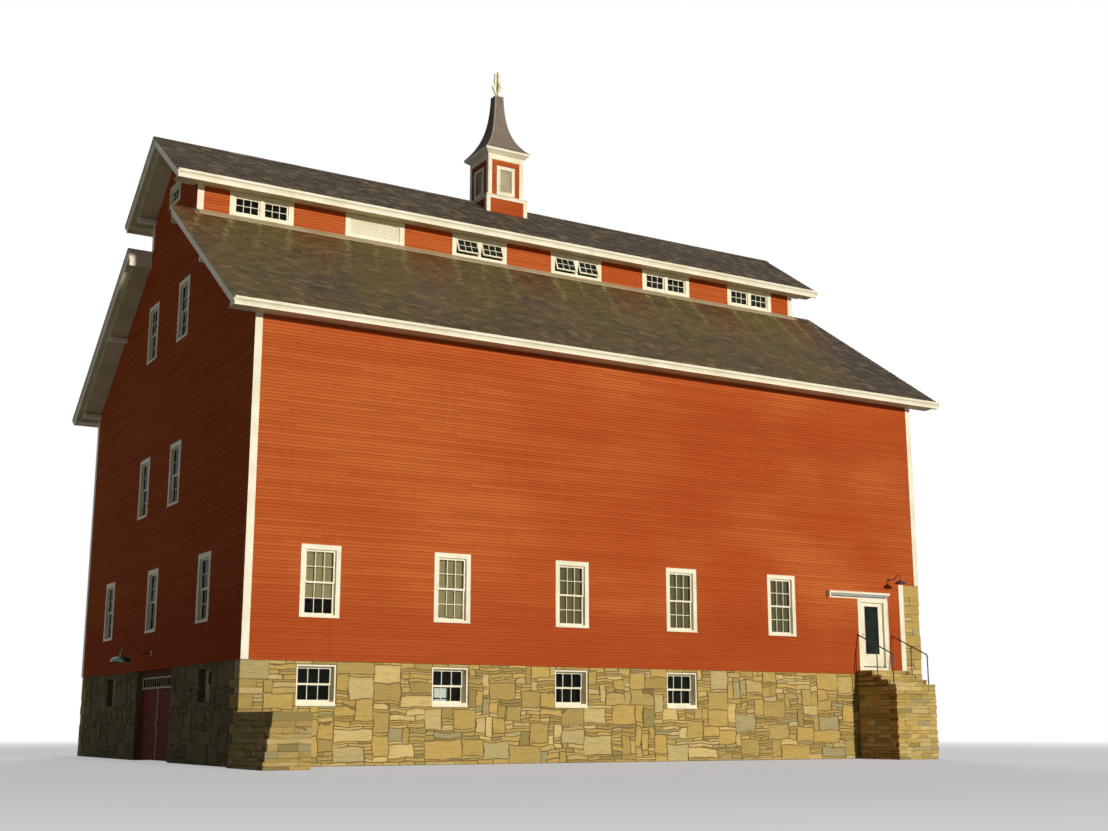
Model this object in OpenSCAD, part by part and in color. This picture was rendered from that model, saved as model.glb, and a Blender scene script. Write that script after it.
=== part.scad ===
// Bank barn: a stone basement, clapboarded timber walls, a slate roof with a raised
// monitor along its ridge, and a louvred cupola with a flared roof.
// Millimetres. X runs along the ridge, Y into the building, Z up. The origin lies
// under the middle of the barn, at the level of the lowest ground.

/* [Barn] */
// Length between the outer faces of the two gables
barn_l = 22860; // [21500:10:24500]
// Width between the outer faces of the two long walls
barn_w = 16410; // [15400:10:17600]
// Lowest ground up to the bottom of the siding
base_h = 2600; // [2500:10:2900]
// Bottom of the siding up to the main eave soffit
wall_h = 8845; // [8500:5:9400]
// Thickness of the timber walls
wall_t = 200; // [160:5:260]
// Thickness of the stone walls
stone_t = 700; // [550:10:800]
// How far the stone stands back behind the siding
stone_inset = 30; // [15:5:60]
// Height of the uphill gable's stone wall above the bottom of the siding
uphill_h = 2880; // [2500:10:3200]
// Thickness of the main floor
main_floor_t = 240; // [180:5:260]
// Top of the second floor above the bottom of the siding
second_floor_z = 3600; // [3400:10:3900]
// Top of the loft floor above the bottom of the siding
loft_floor_z = 8600; // [8200:10:8700]
// Thickness of the upper floors and of the basement slab
floor_t = 160; // [120:5:220]

/* [Roofs] */
// Pitch of every roof slope in degrees
roof_pitch = 35; // [33:0.5:37]
// Depth of the roof build-up, measured plumb
roof_v = 460; // [420:5:500]
// Edge of the roof above the soffit at the eaves
eave_rise = 152; // [120:1:180]
// Overhang of the main eaves past the long walls
eave_over = 585; // [450:5:700]
// Overhang of all roofs past the gables
rake_over = 755; // [600:5:900]
// Thickness of fascia, rake and corner boards
board_t = 25; // [18:1:35]
// Thickness of the soffit boards
soffit_t = 22; // [15:1:30]
// How far the main fascia hangs below its soffit
eave_drop = 32; // [10:1:60]
// Plumb height of the rake boards
rake_h = 280; // [250:5:320]
// How far the deeper part of the roof build-up stands back behind the rake boards
rake_step = 150; // [100:5:200]
// Width of the corner boards
corner_w = 200; // [140:5:240]
// Height and width of the lookout beams under the rakes
lookout_s = 140; // [100:5:180]
// Distance of the upper main lookouts from the ridge line
lookout_far = 4950; // [4500:10:5400]

/* [Monitor] */
// Width between the outer faces of the monitor walls
mon_w = 4724; // [4300:10:5200]
// Main roof up to the monitor soffit
mon_rise = 783; // [760:1:900]
// Overhang of the monitor eaves
mon_over = 566; // [450:5:700]
// How far the monitor fascia hangs below its soffit
mon_drop = 65; // [20:1:65]
// Width of the flashing strip that lies on the slates along the monitor walls
flashing_w = 330; // [250:5:400]
// Bottom of the monitor windows above the main roof
mon_win_rise = 20; // [12:1:30]
// Width of a monitor window with its casing
mon_win_w = 2040; // [1900:10:2300]
// Height of a monitor window with its casing
mon_win_h = 750; // [700:1:752]
// Width of the side casings of a monitor window
mon_casing_w = 165; // [120:5:180]
// Width of the head casing of a monitor window
mon_head_w = 130; // [100:5:150]
// Width of the sill of a monitor window
mon_sill_w = 90; // [70:5:110]
// Width of the mullion between its two sashes
mullion_w = 120; // [90:5:140]
// Outward tilt of the open monitor sashes in degrees
awning_tilt = 22; // [5:1:35]

/* [Bays and windows] */
// Outer face of a gable to the first bay line
bay_end = 135; // [100:5:200]
// Width of a sash window with its casing
win_w = 1087; // [950:1:1250]
// Height of a sash window with its casing and sill
win_h = 1850; // [1700:5:2000]
// Bottom of the first-storey windows above the bottom of the siding
win_z = 1086; // [900:2:1300]
// Width of the casing round a sash window
casing_w = 125; // [90:5:150]
// Thickness of a window's liner, which passes through the wall
liner_t = 20; // [15:1:30]
// Width of a sash's stiles and rails
stile_w = 50; // [40:1:65]
// Thickness of a sash
sash_t = 35; // [30:1:45]
// Thickness of the panes
glass_t = 5; // [4:0.5:8]
// Outer first-storey gable windows: distance from the ridge line
gable_win_far = 4975; // [4600:5:5400]
// Upper gable windows: distance from the ridge line
gable_win_near = 1630; // [1400:5:2000]
// Bottom of the second-storey gable windows above the bottom of the siding
gable_win_z2 = 4670; // [4500:10:5000]
// Bottom of the loft gable windows above the bottom of the siding
gable_win_z3 = 9670; // [9400:10:9800]
// Width of the window in the monitor's gable, with its casing
peak_win_w = 1170; // [1000:10:1300]
// Height of the window in the monitor's gable, with its casing
peak_win_h = 700; // [600:10:760]
// Bottom of the window in the monitor's gable above the bottom of the siding
peak_win_z = 14390; // [14350:10:14500]
// Width of a basement window opening
cellar_win_w = 1070; // [900:10:1200]
// Height of a basement window opening
cellar_win_h = 1030; // [900:10:1100]
// Top of the basement windows below the bottom of the siding
cellar_win_top = 90; // [60:5:150]
// How far the basement windows stand back in the stone
cellar_set = 220; // [150:5:280]
// Basement gable windows on the front and back sides of the doors: distance from the ridge line
cellar_gable_front = 5400; // [5000:10:5800]
cellar_gable_back = 4250; // [4000:10:4800]

/* [Entry door] */
// Width of the entry door leaf
entry_w = 930; // [860:5:960]
// Height of the entry door leaf
entry_h = 2000; // [1950:5:2040]
// Thickness of the entry door leaf
entry_t = 45; // [38:1:55]
// Outer width of the entry door casing
entry_trim_w = 1270; // [1200:5:1340]
// Height of the entry door's head casing
entry_head_h = 100; // [80:5:120]
// Thickness of the door's jambs
jamb_t = 25; // [20:1:35]
// How far the entry leaf stands back from the face of the siding
entry_set = 60; // [40:5:90]
// Width of the entry leaf's stiles and top rail
entry_stile = 165; // [120:5:200]
// Height of the entry leaf's bottom rail
entry_rail = 370; // [300:5:450]
// Running gap round the leaves of both doorways
door_gap = 6; // [5.5:0.5:8]
// Gap where the two basement leaves meet
meeting_gap = 8; // [7:0.5:12]
// Length of the hood that covers the old sliding-door track
hood_l = 2530; // [2300:10:2700]
// Height of the hood
hood_h = 200; // [160:5:240]
// Depth of the hood
hood_d = 160; // [120:5:200]

/* [Basement doors] */
// Width of the basement doorway in the stone
cellar_door_w = 3540; // [3200:10:3800]
// Middle of the basement doorway, measured from the ridge line towards the front
cellar_door_y = 575; // [400:5:700]
// Width of the basement door posts
post_w = 80; // [70:5:110]
// How far the basement leaves stand back from the face of the stone
leaf_set = 150; // [120:5:170]
// Thickness of the basement leaves
leaf_t = 60; // [45:1:75]
// Height of the basement leaves
leaf_h = 2010; // [1900:5:2040]
// Height of the basement leaves' feet above the ground
leaf_foot = 30; // [15:1:40]
// Height of the barred light over the basement leaves
transom_h = 240; // [180:5:260]
// Width of the bars of that light
bar_w = 40; // [30:1:50]
// Radius of the pintles that carry the basement leaves
pintle_r = 9; // [7:0.5:11]
// Length of the strap hinges
strap_l = 900; // [700:10:1200]

/* [Stoop and lamps] */
// Width of the stoop
stoop_w = 1610; // [1500:10:1800]
// Depth of the stoop's upper landing
landing_d = 667; // [600:1:800]
// Depth of each lower tread
tread_d = 345; // [300:5:360]
// Height of each step
riser_h = 150; // [130:1:165]
// Top of the landing above the bottom of the siding
landing_z = 90; // [60:5:120]
// Height of the handrails above the steps, at the wall
rail_h = 1225; // [1150:5:1300]
// Fall of the handrails for each metre that they run out
rail_fall = 435; // [380:5:460]
// Radius of the handrails and their posts
rail_r = 19; // [15:1:24]
// Reach and shade diameter of the lamp over the basement doors
gable_lamp_reach = 880; // [760:10:950]
gable_lamp_d = 600; // [500:10:650]
// Reach and shade diameter of the lamp beside the entry door
front_lamp_reach = 550; // [450:10:620]
front_lamp_d = 380; // [320:10:420]

/* [Wing wall] */
// How far the wing wall runs out from the front corner
wing_l = 2500; // [2100:10:2800]
// Thickness of the wing wall at its top
wing_t = 930; // [800:10:1100]
// Batter of the wing wall's outer face
wing_batter = 230; // [100:10:400]
// Top of the wing wall below the bottom of the siding
wing_top = 1280; // [1150:10:1400]

/* [Cupola] */
// Side of the cupola's clapboarded base
cupola_base_w = 1580; // [1450:10:1700]
// Top of the cupola's base above the monitor's ridge
cupola_base_rise = 85; // [60:5:150]
// Side of the cupola's body
cupola_w = 1360; // [1250:10:1420]
// Height of the cupola's body
cupola_h = 1585; // [1500:5:1700]
// Thickness of the cupola's walls
cupola_t = 70; // [50:5:90]
// Width of a louvre opening in the cupola
louvre_w = 500; // [400:10:560]
// Height of a louvre opening in the cupola
louvre_h = 850; // [750:10:950]
// Bottom of the louvre openings above the cupola's base
louvre_z = 210; // [180:5:260]
// Half-width of the cornice under the cupola's roof
cornice_hw = 860; // [800:10:920]
// Height of the cornice
cornice_h = 190; // [150:5:240]
// Height of the flared roof
spire_h = 2290; // [2000:10:2500]
// Half-width that the flared roof narrows towards
spire_tip = 125; // [100:5:150]
// Height over which the flare falls to about a third
spire_fall = 720; // [600:10:800]
// Height of the finial
finial_h = 1000; // [800:10:1200]
// Thickness of the two crossed boards of the finial
finial_t = 60; // [40:5:80]

/* [Hidden] */

red = "#a8401f";
white = "#ece2c6";
slate = "#6b6253";
stone = "#b09462";
timber = "#8a6a48";
glass = "#27302e";
dark_red = "#5a1c18";
iron = "#1c1c1c";
steel = "#8f8c82";
lead = "#b9b2a0";
enamel = "#2c4a3a";

hl = barn_l / 2;
hw = barn_w / 2;
hm = mon_w / 2;
slope = tan(roof_pitch);
sill_z = base_h;
soffit_z = sill_z + wall_h;
main_floor_z = sill_z + main_floor_t;
past = 1; // how far a cutter runs past the face that it cuts
bed = 0.5; // free height where a piece lies on or under a slope

// Roof surfaces at a distance y from the ridge line
function main_top(y) = soffit_z + eave_rise + (hw + eave_over - abs(y)) * slope;
function main_under(y) = main_top(y) - roof_v;
mon_foot_z = main_top(hm);
mon_soffit_z = mon_foot_z + mon_rise;
function mon_top(y) = mon_soffit_z + eave_rise + (hm + mon_over - abs(y)) * slope;
function mon_under(y) = mon_top(y) - roof_v;
function main_bed(y) = main_under(y) - bed;
function mon_bed(y) = mon_under(y) - bed;
ridge_z = mon_top(0);

// Middles of the six bays along the barn
bay_n = 6;
bay_pitch = (barn_l - 2 * bay_end) / bay_n;
bays = [for (i = [0:bay_n - 1]) (i - (bay_n - 1) / 2) * bay_pitch];
entry_bay = 5;
louvre_bay = 1;
open_bays = [2, 3];

lite_w = win_w - 2 * casing_w;
hole_w = lite_w + 2 * liner_t;
sill_h = 70;
lite_h = win_h - casing_w - sill_h;
entry_shift = 40; // the entry door stands this far off its bay line
entry_x = bays[entry_bay] - entry_shift;
entry_open_w = entry_w + 2 * door_gap;
entry_hole_w = entry_open_w + 2 * jamb_t;
threshold_z = main_floor_z;
entry_z = threshold_z + door_gap;
entry_open_h = entry_h + 2 * door_gap;
entry_hole_top = threshold_z + entry_open_h + jamb_t;
entry_hinge_x = entry_x + entry_w / 2;
entry_pin_r = 6;
entry_knuckle_r = 11;
pin_play = 0.3; // play of a hinge's eye round its pin
hinge_gap = 1; // free height between a hinge's eye and its neighbour

leaf_open_w = cellar_door_w - 2 * post_w;
leaf_w = (leaf_open_w - meeting_gap) / 2 - door_gap;
leaf_x = -hl + stone_inset + leaf_set;
leaf_top = leaf_foot + leaf_h;
head_z = leaf_top + door_gap;
strap_t = 8;
strap_h = 60;
eye_r = pintle_r + pin_play + 8;
pintle_x = leaf_x - eye_r;

// A flat outline in y and z, carried along x
module along_x(x0, x1) translate([x0, 0, 0]) rotate([90, 0, 90]) linear_extrude(x1 - x0) children();
// A flat outline in x and z, carried along y
module along_y(y0, y1) translate([0, y1, 0]) rotate([90, 0, 0]) linear_extrude(y1 - y0) children();
// A block between two corners
module block(a, b) translate(a) cube(b - a);
// The same on both long sides, or on both gables
module both_sides() {
    children();
    mirror([0, 1, 0]) children();
}
module both_ends() {
    children();
    mirror([1, 0, 0]) children();
}

// Local frames on the four outer faces: x to the right, y into the wall, z up
module on_front(x, z) translate([x, -hw, z]) children();
module on_back(x, z) translate([x, hw, z]) rotate([0, 0, 180]) children();
module on_west(y, z) translate([-hl, y, z]) rotate([0, 0, -90]) children();
module on_east(y, z) translate([hl, y, z]) rotate([0, 0, 90]) children();
module on_mon_front(x, z) translate([x, -hm, z]) children();
module on_mon_back(x, z) translate([x, hm, z]) rotate([0, 0, 180]) children();

// Places of like windows on one face
module front_windows() for (i = [0:entry_bay - 1]) on_front(bays[i], sill_z + win_z) children();
module back_windows() for (i = [0:bay_n - 1]) on_back(bays[i], sill_z + win_z) children();
module upper_gable_windows() {
    for (e = [0, 1], s = [-1, 1], z = [gable_win_z2, gable_win_z3])
        if (e == 0) on_west(s * gable_win_near, sill_z + z) children();
        else on_east(s * gable_win_near, sill_z + z) children();
}
module lower_gable_windows() for (y = [-gable_win_far, 0, gable_win_far])
    on_west(y, sill_z + win_z) children();
module peak_windows() {
    on_west(0, sill_z + peak_win_z) children();
    on_east(0, sill_z + peak_win_z) children();
}
cellar_win_z = sill_z - cellar_win_top - cellar_win_h;
cellar_bays = [0:3];
module cellar_front_windows() for (i = cellar_bays) on_front(bays[i], cellar_win_z) children();
module cellar_back_windows() for (i = cellar_bays) on_back(bays[i], cellar_win_z) children();
module cellar_gable_window_front() on_west(-cellar_gable_front, cellar_win_z) children();
module cellar_gable_window_back() on_west(cellar_gable_back, cellar_win_z) children();
mon_win_z = mon_foot_z + mon_win_rise;
module monitor_windows() for (i = [0:bay_n - 1]) if (i != louvre_bay) {
    on_mon_front(bays[i], mon_win_z) children();
    on_mon_back(bays[i], mon_win_z) children();
}

// Openings that windows need in a timber or stone wall
module window_hole() translate([-hole_w / 2, -past, sill_h - liner_t])
    cube([hole_w, wall_t + 2 * past, lite_h + 2 * liner_t]);
module cellar_hole() translate([-cellar_win_w / 2, -past, 0])
    cube([cellar_win_w, stone_t + stone_inset + 2 * past, cellar_win_h]);
module ring_hole(w, h, side, foot, head) translate([-w / 2 + side - liner_t, -past, foot - liner_t])
    cube([w - 2 * side + 2 * liner_t, wall_t + 2 * past, h - foot - head + 2 * liner_t]);
module peak_hole() ring_hole(peak_win_w, peak_win_h, casing_w, casing_w, casing_w);
module mon_hole() ring_hole(mon_win_w, mon_win_h, mon_casing_w, mon_sill_w, mon_head_w);

// Stone basement
module foundation_long_wall() block([-hl + stone_inset, -hw + stone_inset, 0],
    [hl - stone_t, -hw + stone_t, sill_z]);
module foundation_front() color(stone) difference() {
    foundation_long_wall();
    cellar_front_windows() cellar_hole();
}
module foundation_back() color(stone) difference() {
    mirror([0, 1, 0]) foundation_long_wall();
    cellar_back_windows() cellar_hole();
}
door_y0 = -cellar_door_y - cellar_door_w / 2;
door_y1 = -cellar_door_y + cellar_door_w / 2;
module foundation_west_front() color(stone) difference() {
    block([-hl + stone_inset, -hw + stone_t, 0], [-hl + stone_t, door_y0, sill_z]);
    cellar_gable_window_front() cellar_hole();
}
module foundation_west_back() color(stone) difference() {
    block([-hl + stone_inset, door_y1, 0], [-hl + stone_t, hw - stone_t, sill_z]);
    cellar_gable_window_back() cellar_hole();
}
module foundation_east() color(stone) block([hl - stone_t, -hw + stone_inset, 0],
    [hl - stone_inset, hw - stone_inset, sill_z + uphill_h]);
module wing_wall() color(stone) along_y(-hw + stone_inset - wing_l, -hw + stone_inset)
    polygon([[-hl + stone_inset - wing_batter, 0], [-hl + stone_inset + wing_t, 0],
        [-hl + stone_inset + wing_t, sill_z - wing_top], [-hl + stone_inset, sill_z - wing_top]]);

// Floors
module basement_floor() color(stone) block([-hl + stone_t, -hw + stone_t, 0],
    [hl - stone_t, hw - stone_t, floor_t]);
module main_floor() color(timber) block([-hl + wall_t, -hw + wall_t, sill_z],
    [hl - stone_t, hw - wall_t, main_floor_z]);
module upper_floor(z) color(timber) block([-hl + wall_t, -hw + wall_t, z - floor_t],
    [hl - wall_t, hw - wall_t, z]);
module second_floor() upper_floor(sill_z + second_floor_z);
module loft_floor() upper_floor(sill_z + loft_floor_z);

// Timber walls
module long_wall(x0, x1) along_x(x0, x1) polygon([[-hw, sill_z], [-hw + wall_t, sill_z],
    [-hw + wall_t, main_bed(hw - wall_t)], [-hw, main_bed(hw)]]);
module stone_end() block([hl - stone_t, -hw - past, sill_z - past], [hl, hw + past, sill_z + uphill_h]);
module front_wall_left() color(red) difference() {
    long_wall(-hl + wall_t, entry_x - entry_hole_w / 2);
    front_windows() window_hole();
}
module front_wall_right() color(red) difference() {
    long_wall(entry_x + entry_hole_w / 2, hl - wall_t);
    stone_end();
}
module front_wall_over_door() color(red) intersection() {
    long_wall(entry_x - entry_hole_w / 2, entry_x + entry_hole_w / 2);
    block([-hl, -hw, entry_hole_top], [hl, 0, ridge_z]);
}
module back_wall() color(red) difference() {
    mirror([0, 1, 0]) long_wall(-hl + wall_t, hl - wall_t);
    back_windows() window_hole();
    stone_end();
}
mon_wall_foot = main_bed(hm);
module gable_outline() polygon([[-hw, sill_z], [hw, sill_z], [hw, main_bed(hw)], [hm, mon_wall_foot],
    [-hm, mon_wall_foot], [-hw, main_bed(hw)]]);
module monitor_gable_outline() polygon([[-hm, mon_wall_foot], [hm, mon_wall_foot], [hm, mon_bed(hm)],
    [0, mon_bed(0)], [-hm, mon_bed(hm)]]);
module west_gable_wall() color(red) difference() {
    along_x(-hl, -hl + wall_t) gable_outline();
    lower_gable_windows() window_hole();
    upper_gable_windows() window_hole();
}
module east_gable_wall() color(red) difference() {
    along_x(hl - wall_t, hl) gable_outline();
    stone_end();
    upper_gable_windows() window_hole();
}
module west_monitor_gable() color(red) difference() {
    along_x(-hl, -hl + wall_t) monitor_gable_outline();
    peak_windows() peak_hole();
}
module east_monitor_gable() color(red) difference() {
    along_x(hl - wall_t, hl) monitor_gable_outline();
    peak_windows() peak_hole();
}
module monitor_wall() along_x(-hl + wall_t, hl - wall_t) polygon([[-hm, mon_wall_foot],
    [-hm + wall_t, mon_wall_foot], [-hm + wall_t, mon_bed(hm - wall_t)], [-hm, mon_bed(hm)]]);
module monitor_holes() {
    monitor_windows() mon_hole();
    on_mon_front(bays[louvre_bay], mon_win_z) mon_hole();
    on_mon_back(bays[louvre_bay], mon_win_z) mon_hole();
}
module monitor_front_wall() color(red) difference() {
    monitor_wall();
    monitor_holes();
}
module monitor_back_wall() color(red) difference() {
    mirror([0, 1, 0]) monitor_wall();
    monitor_holes();
}

// Roofs: each slope is cut level over its eave soffit and plumb at its upper edge. At the rakes
// only the upper part, as deep as the rake boards, runs out to the end.
slab_end = hl + rake_over - board_t;
main_edge = hw + eave_over - board_t;
mon_edge = hm + mon_over - board_t;
module slope_outline(edge, top_edge, top, ridge_y, ridge, depth) polygon([[-edge, top_edge], [-edge, top],
    [-ridge_y, ridge], [-ridge_y, ridge - depth], [-edge + (top_edge + depth - top) / slope, top_edge]]);
module stepped_slope(edge, foot, top, ridge_y, ridge) {
    along_x(-slab_end + rake_step, slab_end - rake_step)
        slope_outline(edge, foot, top, ridge_y, ridge, roof_v);
    along_x(-slab_end, slab_end) slope_outline(edge, foot, top, ridge_y, ridge, rake_h);
}
module main_roof() color(slate)
    stepped_slope(main_edge, soffit_z + soffit_t, main_top(main_edge), hm, main_top(hm));
module main_roof_front() main_roof();
module main_roof_back() mirror([0, 1, 0]) main_roof();
module monitor_roof() color(slate)
    stepped_slope(mon_edge, mon_soffit_z + soffit_t, mon_top(mon_edge), 0, mon_top(0));
module monitor_roof_front() monitor_roof();
module monitor_roof_back() mirror([0, 1, 0]) monitor_roof();

// Eaves and rakes
module eave_fascias() color(white) both_sides() {
    block([-slab_end, -main_edge - board_t, soffit_z - eave_drop],
        [slab_end, -main_edge, main_top(main_edge + board_t)]);
    block([-slab_end, -mon_edge - board_t, mon_soffit_z - mon_drop],
        [slab_end, -mon_edge, mon_top(mon_edge + board_t)]);
}
// Level soffit, with an upright return that closes its box beyond the gable
module eave_soffit(edge, face, z, under) {
    block([-slab_end, -edge, z], [slab_end, -face, z + soffit_t]);
    both_ends() block([-slab_end + rake_step, -face - soffit_t, z], [-hl, -face, under]);
}
module eave_soffits() color(white) both_sides() {
    eave_soffit(main_edge, hw, soffit_z, main_bed(hw + soffit_t));
    eave_soffit(mon_edge, hm, mon_soffit_z, mon_bed(hm + soffit_t));
}
// Rake board: it follows the slope and is cut level at the fascia's foot
module rake_outline(edge, top, foot, ridge_y, ridge) polygon([[-edge, foot], [-edge, top], [-ridge_y, ridge],
    [-ridge_y, ridge - rake_h], [-edge + (foot + rake_h - top) / slope, foot]]);
module main_rake() rake_outline(main_edge + board_t, main_top(main_edge + board_t),
    soffit_z - eave_drop, hm, main_top(hm));
module mon_rake() rake_outline(mon_edge + board_t, mon_top(mon_edge + board_t),
    mon_soffit_z - mon_drop, 0, mon_top(0));
module rake_boards() color(white) both_ends() {
    both_sides() along_x(-slab_end - board_t, -slab_end) main_rake();
    along_x(-slab_end - board_t, -slab_end) union() {
        mon_rake();
        mirror([1, 0]) mon_rake();
    }
}
// Lookouts: beams under the rake overhang, and a header board on the plumb end of each main slope
lookout_x = slab_end - rake_step;
lookout_gap = 5; // left between a corner board and the lookout beside it
lookout_ys = [lookout_far, hw - corner_w - lookout_gap - lookout_s / 2];
header_h = 550;
module lookouts() color(white) both_ends() both_sides() {
    for (y = lookout_ys)
        block([-lookout_x, -y - lookout_s / 2, main_bed(y + lookout_s / 2) - lookout_s],
            [-hl, -y + lookout_s / 2, main_bed(y + lookout_s / 2)]);
    block([-lookout_x, -hm + corner_w, mon_bed(hm - corner_w) - lookout_s],
        [-hl, -hm + corner_w + lookout_s, mon_bed(hm - corner_w)]);
    block([-slab_end, -hm, main_top(hm) - header_h], [-hl, -hm + board_t, main_top(hm)]);
}

// Corner boards: one on the long side at every corner, and one on the gable at the back corners
module long_corner(x0, y, z0, z1) block([x0, -y - board_t, z0], [x0 + corner_w, -y, z1]);
module gable_corner(y, z0, z1, under) along_x(-hl - board_t, -hl)
    polygon([[y + board_t, z0], [y - corner_w, z0], [y - corner_w, under + corner_w * slope], [y, under],
        [y, z1], [y + board_t, z1]]);
module corner_boards() color(white) {
    both_sides() {
        long_corner(-hl, hw, sill_z, soffit_z);
        long_corner(hl - corner_w, hw, sill_z + uphill_h, soffit_z);
        long_corner(hl - stone_t - corner_w, hw, sill_z, sill_z + uphill_h);
        both_ends() long_corner(-hl, hm, mon_corner_z, mon_soffit_z);
    }
    gable_corner(hw, sill_z, soffit_z, main_bed(hw));
    mirror([1, 0, 0]) gable_corner(hw, sill_z + uphill_h, soffit_z, main_bed(hw));
    both_ends() gable_corner(hm, mon_corner_z, mon_soffit_z, mon_bed(hm));
}
flashing_t = 8;
mon_corner_z = mon_foot_z + flashing_t + bed;
module monitor_flashings() color(lead) both_sides() along_x(-hl, hl) translate([0, bed])
    polygon([[-hm - flashing_w, main_top(hm + flashing_w)], [-hm, main_top(hm)],
        [-hm, main_top(hm) + flashing_t], [-hm - flashing_w, main_top(hm + flashing_w) + flashing_t]]);

// One sash: stiles and rails round a pane, its front face at depth y
module sash(w, h, y) translate([-w / 2, y, 0]) difference() {
    cube([w, sash_t, h]);
    translate([stile_w, -past, stile_w]) cube([w - 2 * stile_w, sash_t + 2 * past, h - 2 * stile_w]);
}
module pane(w, h, y) translate([-w / 2 + stile_w, y + (sash_t - glass_t) / 2, stile_w])
    cube([w - 2 * stile_w, glass_t, h - 2 * stile_w]);
// Casing on the wall's face and liner through the wall, round a clear opening
module cased_opening(w, h, side, foot, head, depth) difference() {
    union() {
        translate([-w / 2, -board_t, 0]) cube([w, board_t, h]);
        translate([-w / 2 + side - liner_t, 0, foot - liner_t])
            cube([w - 2 * side + 2 * liner_t, depth, h - foot - head + 2 * liner_t]);
    }
    translate([-w / 2 + side, -board_t - past, foot])
        cube([w - 2 * side, depth + board_t + 2 * past, h - foot - head]);
}
upper_sash_y = 45;
lower_sash_y = upper_sash_y + sash_t;
half_h = lite_h / 2 + stile_w / 2;
module sash_window() {
    cased_opening(win_w, win_h, casing_w, sill_h, casing_w, wall_t);
    translate([0, 0, sill_h + lite_h - half_h]) sash(lite_w, half_h, upper_sash_y);
    translate([0, 0, sill_h]) sash(lite_w, half_h, lower_sash_y);
}
module sash_window_panes() {
    translate([0, 0, sill_h + lite_h - half_h]) pane(lite_w, half_h, upper_sash_y);
    translate([0, 0, sill_h]) pane(lite_w, half_h, lower_sash_y);
}
module windows_front() color(white) front_windows() sash_window();
module windows_back() color(white) back_windows() sash_window();
module peak_window() {
    cased_opening(peak_win_w, peak_win_h, casing_w, casing_w, casing_w, wall_t);
    translate([0, 0, casing_w]) sash(peak_win_w - 2 * casing_w, peak_win_h - 2 * casing_w, upper_sash_y);
}
module windows_gables() color(white) {
    lower_gable_windows() sash_window();
    upper_gable_windows() sash_window();
    peak_windows() peak_window();
}
cellar_frame_w = 45;
cellar_sill_h = 110;
cellar_lip = 25; // how far the box frame stands back from the face of the stone
cellar_depth = stone_inset + cellar_set;
cellar_lite_w = cellar_win_w - 2 * cellar_frame_w;
cellar_lite_h = cellar_win_h - cellar_frame_w - cellar_sill_h;
cellar_half_h = cellar_lite_h / 2 + stile_w / 2;
cellar_upper_z = cellar_sill_h + cellar_lite_h - cellar_half_h;
module cellar_frame() {
    y0 = stone_inset + cellar_lip;
    y1 = cellar_depth + 2 * sash_t;
    difference() {
        translate([-cellar_win_w / 2, y0, 0]) cube([cellar_win_w, y1 - y0, cellar_win_h]);
        translate([-cellar_lite_w / 2, y0 - past, cellar_sill_h])
            cube([cellar_lite_w, y1 - y0 + 2 * past, cellar_lite_h]);
    }
    translate([0, 0, cellar_upper_z]) sash(cellar_lite_w, cellar_half_h, cellar_depth);
    translate([0, 0, cellar_sill_h]) sash(cellar_lite_w, cellar_half_h, cellar_depth + sash_t);
}
module cellar_pane() {
    translate([0, 0, cellar_upper_z]) pane(cellar_lite_w, cellar_half_h, cellar_depth);
    translate([0, 0, cellar_sill_h]) pane(cellar_lite_w, cellar_half_h, cellar_depth + sash_t);
}
module windows_basement() color(white) {
    cellar_front_windows() cellar_frame();
    cellar_back_windows() cellar_frame();
    cellar_gable_window_front() cellar_frame();
    cellar_gable_window_back() cellar_frame();
}

// Monitor windows: a cased pair of sashes hung at their heads, some of them open
mon_lite_h = mon_win_h - mon_sill_w - mon_head_w;
mon_lite_w = mon_win_w - 2 * mon_casing_w;
mon_sash_w = (mon_lite_w - mullion_w) / 2;
mon_sash_y = 20;
module mon_casing() cased_opening(mon_win_w, mon_win_h, mon_casing_w, mon_sill_w, mon_head_w, wall_t);
module monitor_frame() {
    mon_casing();
    translate([-mullion_w / 2, -board_t, mon_sill_w]) cube([mullion_w, wall_t, mon_lite_h]);
}
module windows_monitor() color(white) monitor_windows() monitor_frame();
module mon_sash_place(tilt) for (s = [-1, 1])
    translate([s * (mon_sash_w + mullion_w) / 2, mon_sash_y, mon_sill_w + mon_lite_h]) rotate([-tilt, 0, 0])
        translate([0, 0, -mon_lite_h]) children();
function is_open(i) = len(search(i, open_bays)) > 0;
module monitor_sash_places() for (i = [0:bay_n - 1]) if (i != louvre_bay) {
    on_mon_front(bays[i], mon_win_z) mon_sash_place(is_open(i) ? awning_tilt : 0) children();
    on_mon_back(bays[i], mon_win_z) mon_sash_place(0) children();
}
module monitor_sashes() color(white) monitor_sash_places() sash(mon_sash_w, mon_lite_h, 0);
// Slats that slope down to the front, each lapping the one below it
slat_t = 12;
slat_lap = 0.55;
slat_rise = 0.9;
module slats(w, h, depth, n) for (k = [0:n - 1])
    let (pitch = h / n, foot = -pitch * slat_lap, head = foot + slat_rise * pitch)
    translate([-w / 2, 0, (k + 0.5) * pitch]) along_x(0, w)
        polygon([[0, foot], [depth, head], [depth, head + slat_t], [0, foot + slat_t]]);
mon_slats = 11;
mon_slat_d = 60;
module louvre_panel() {
    mon_casing();
    translate([0, mon_sash_y, mon_sill_w]) intersection() {
        slats(mon_lite_w, mon_lite_h, mon_slat_d, mon_slats);
        translate([-mon_lite_w / 2, 0, 0]) cube([mon_lite_w, mon_slat_d, mon_lite_h]);
    }
}
module monitor_louvres() color(white) {
    on_mon_front(bays[louvre_bay], mon_win_z) louvre_panel();
    on_mon_back(bays[louvre_bay], mon_win_z) louvre_panel();
}
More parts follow.
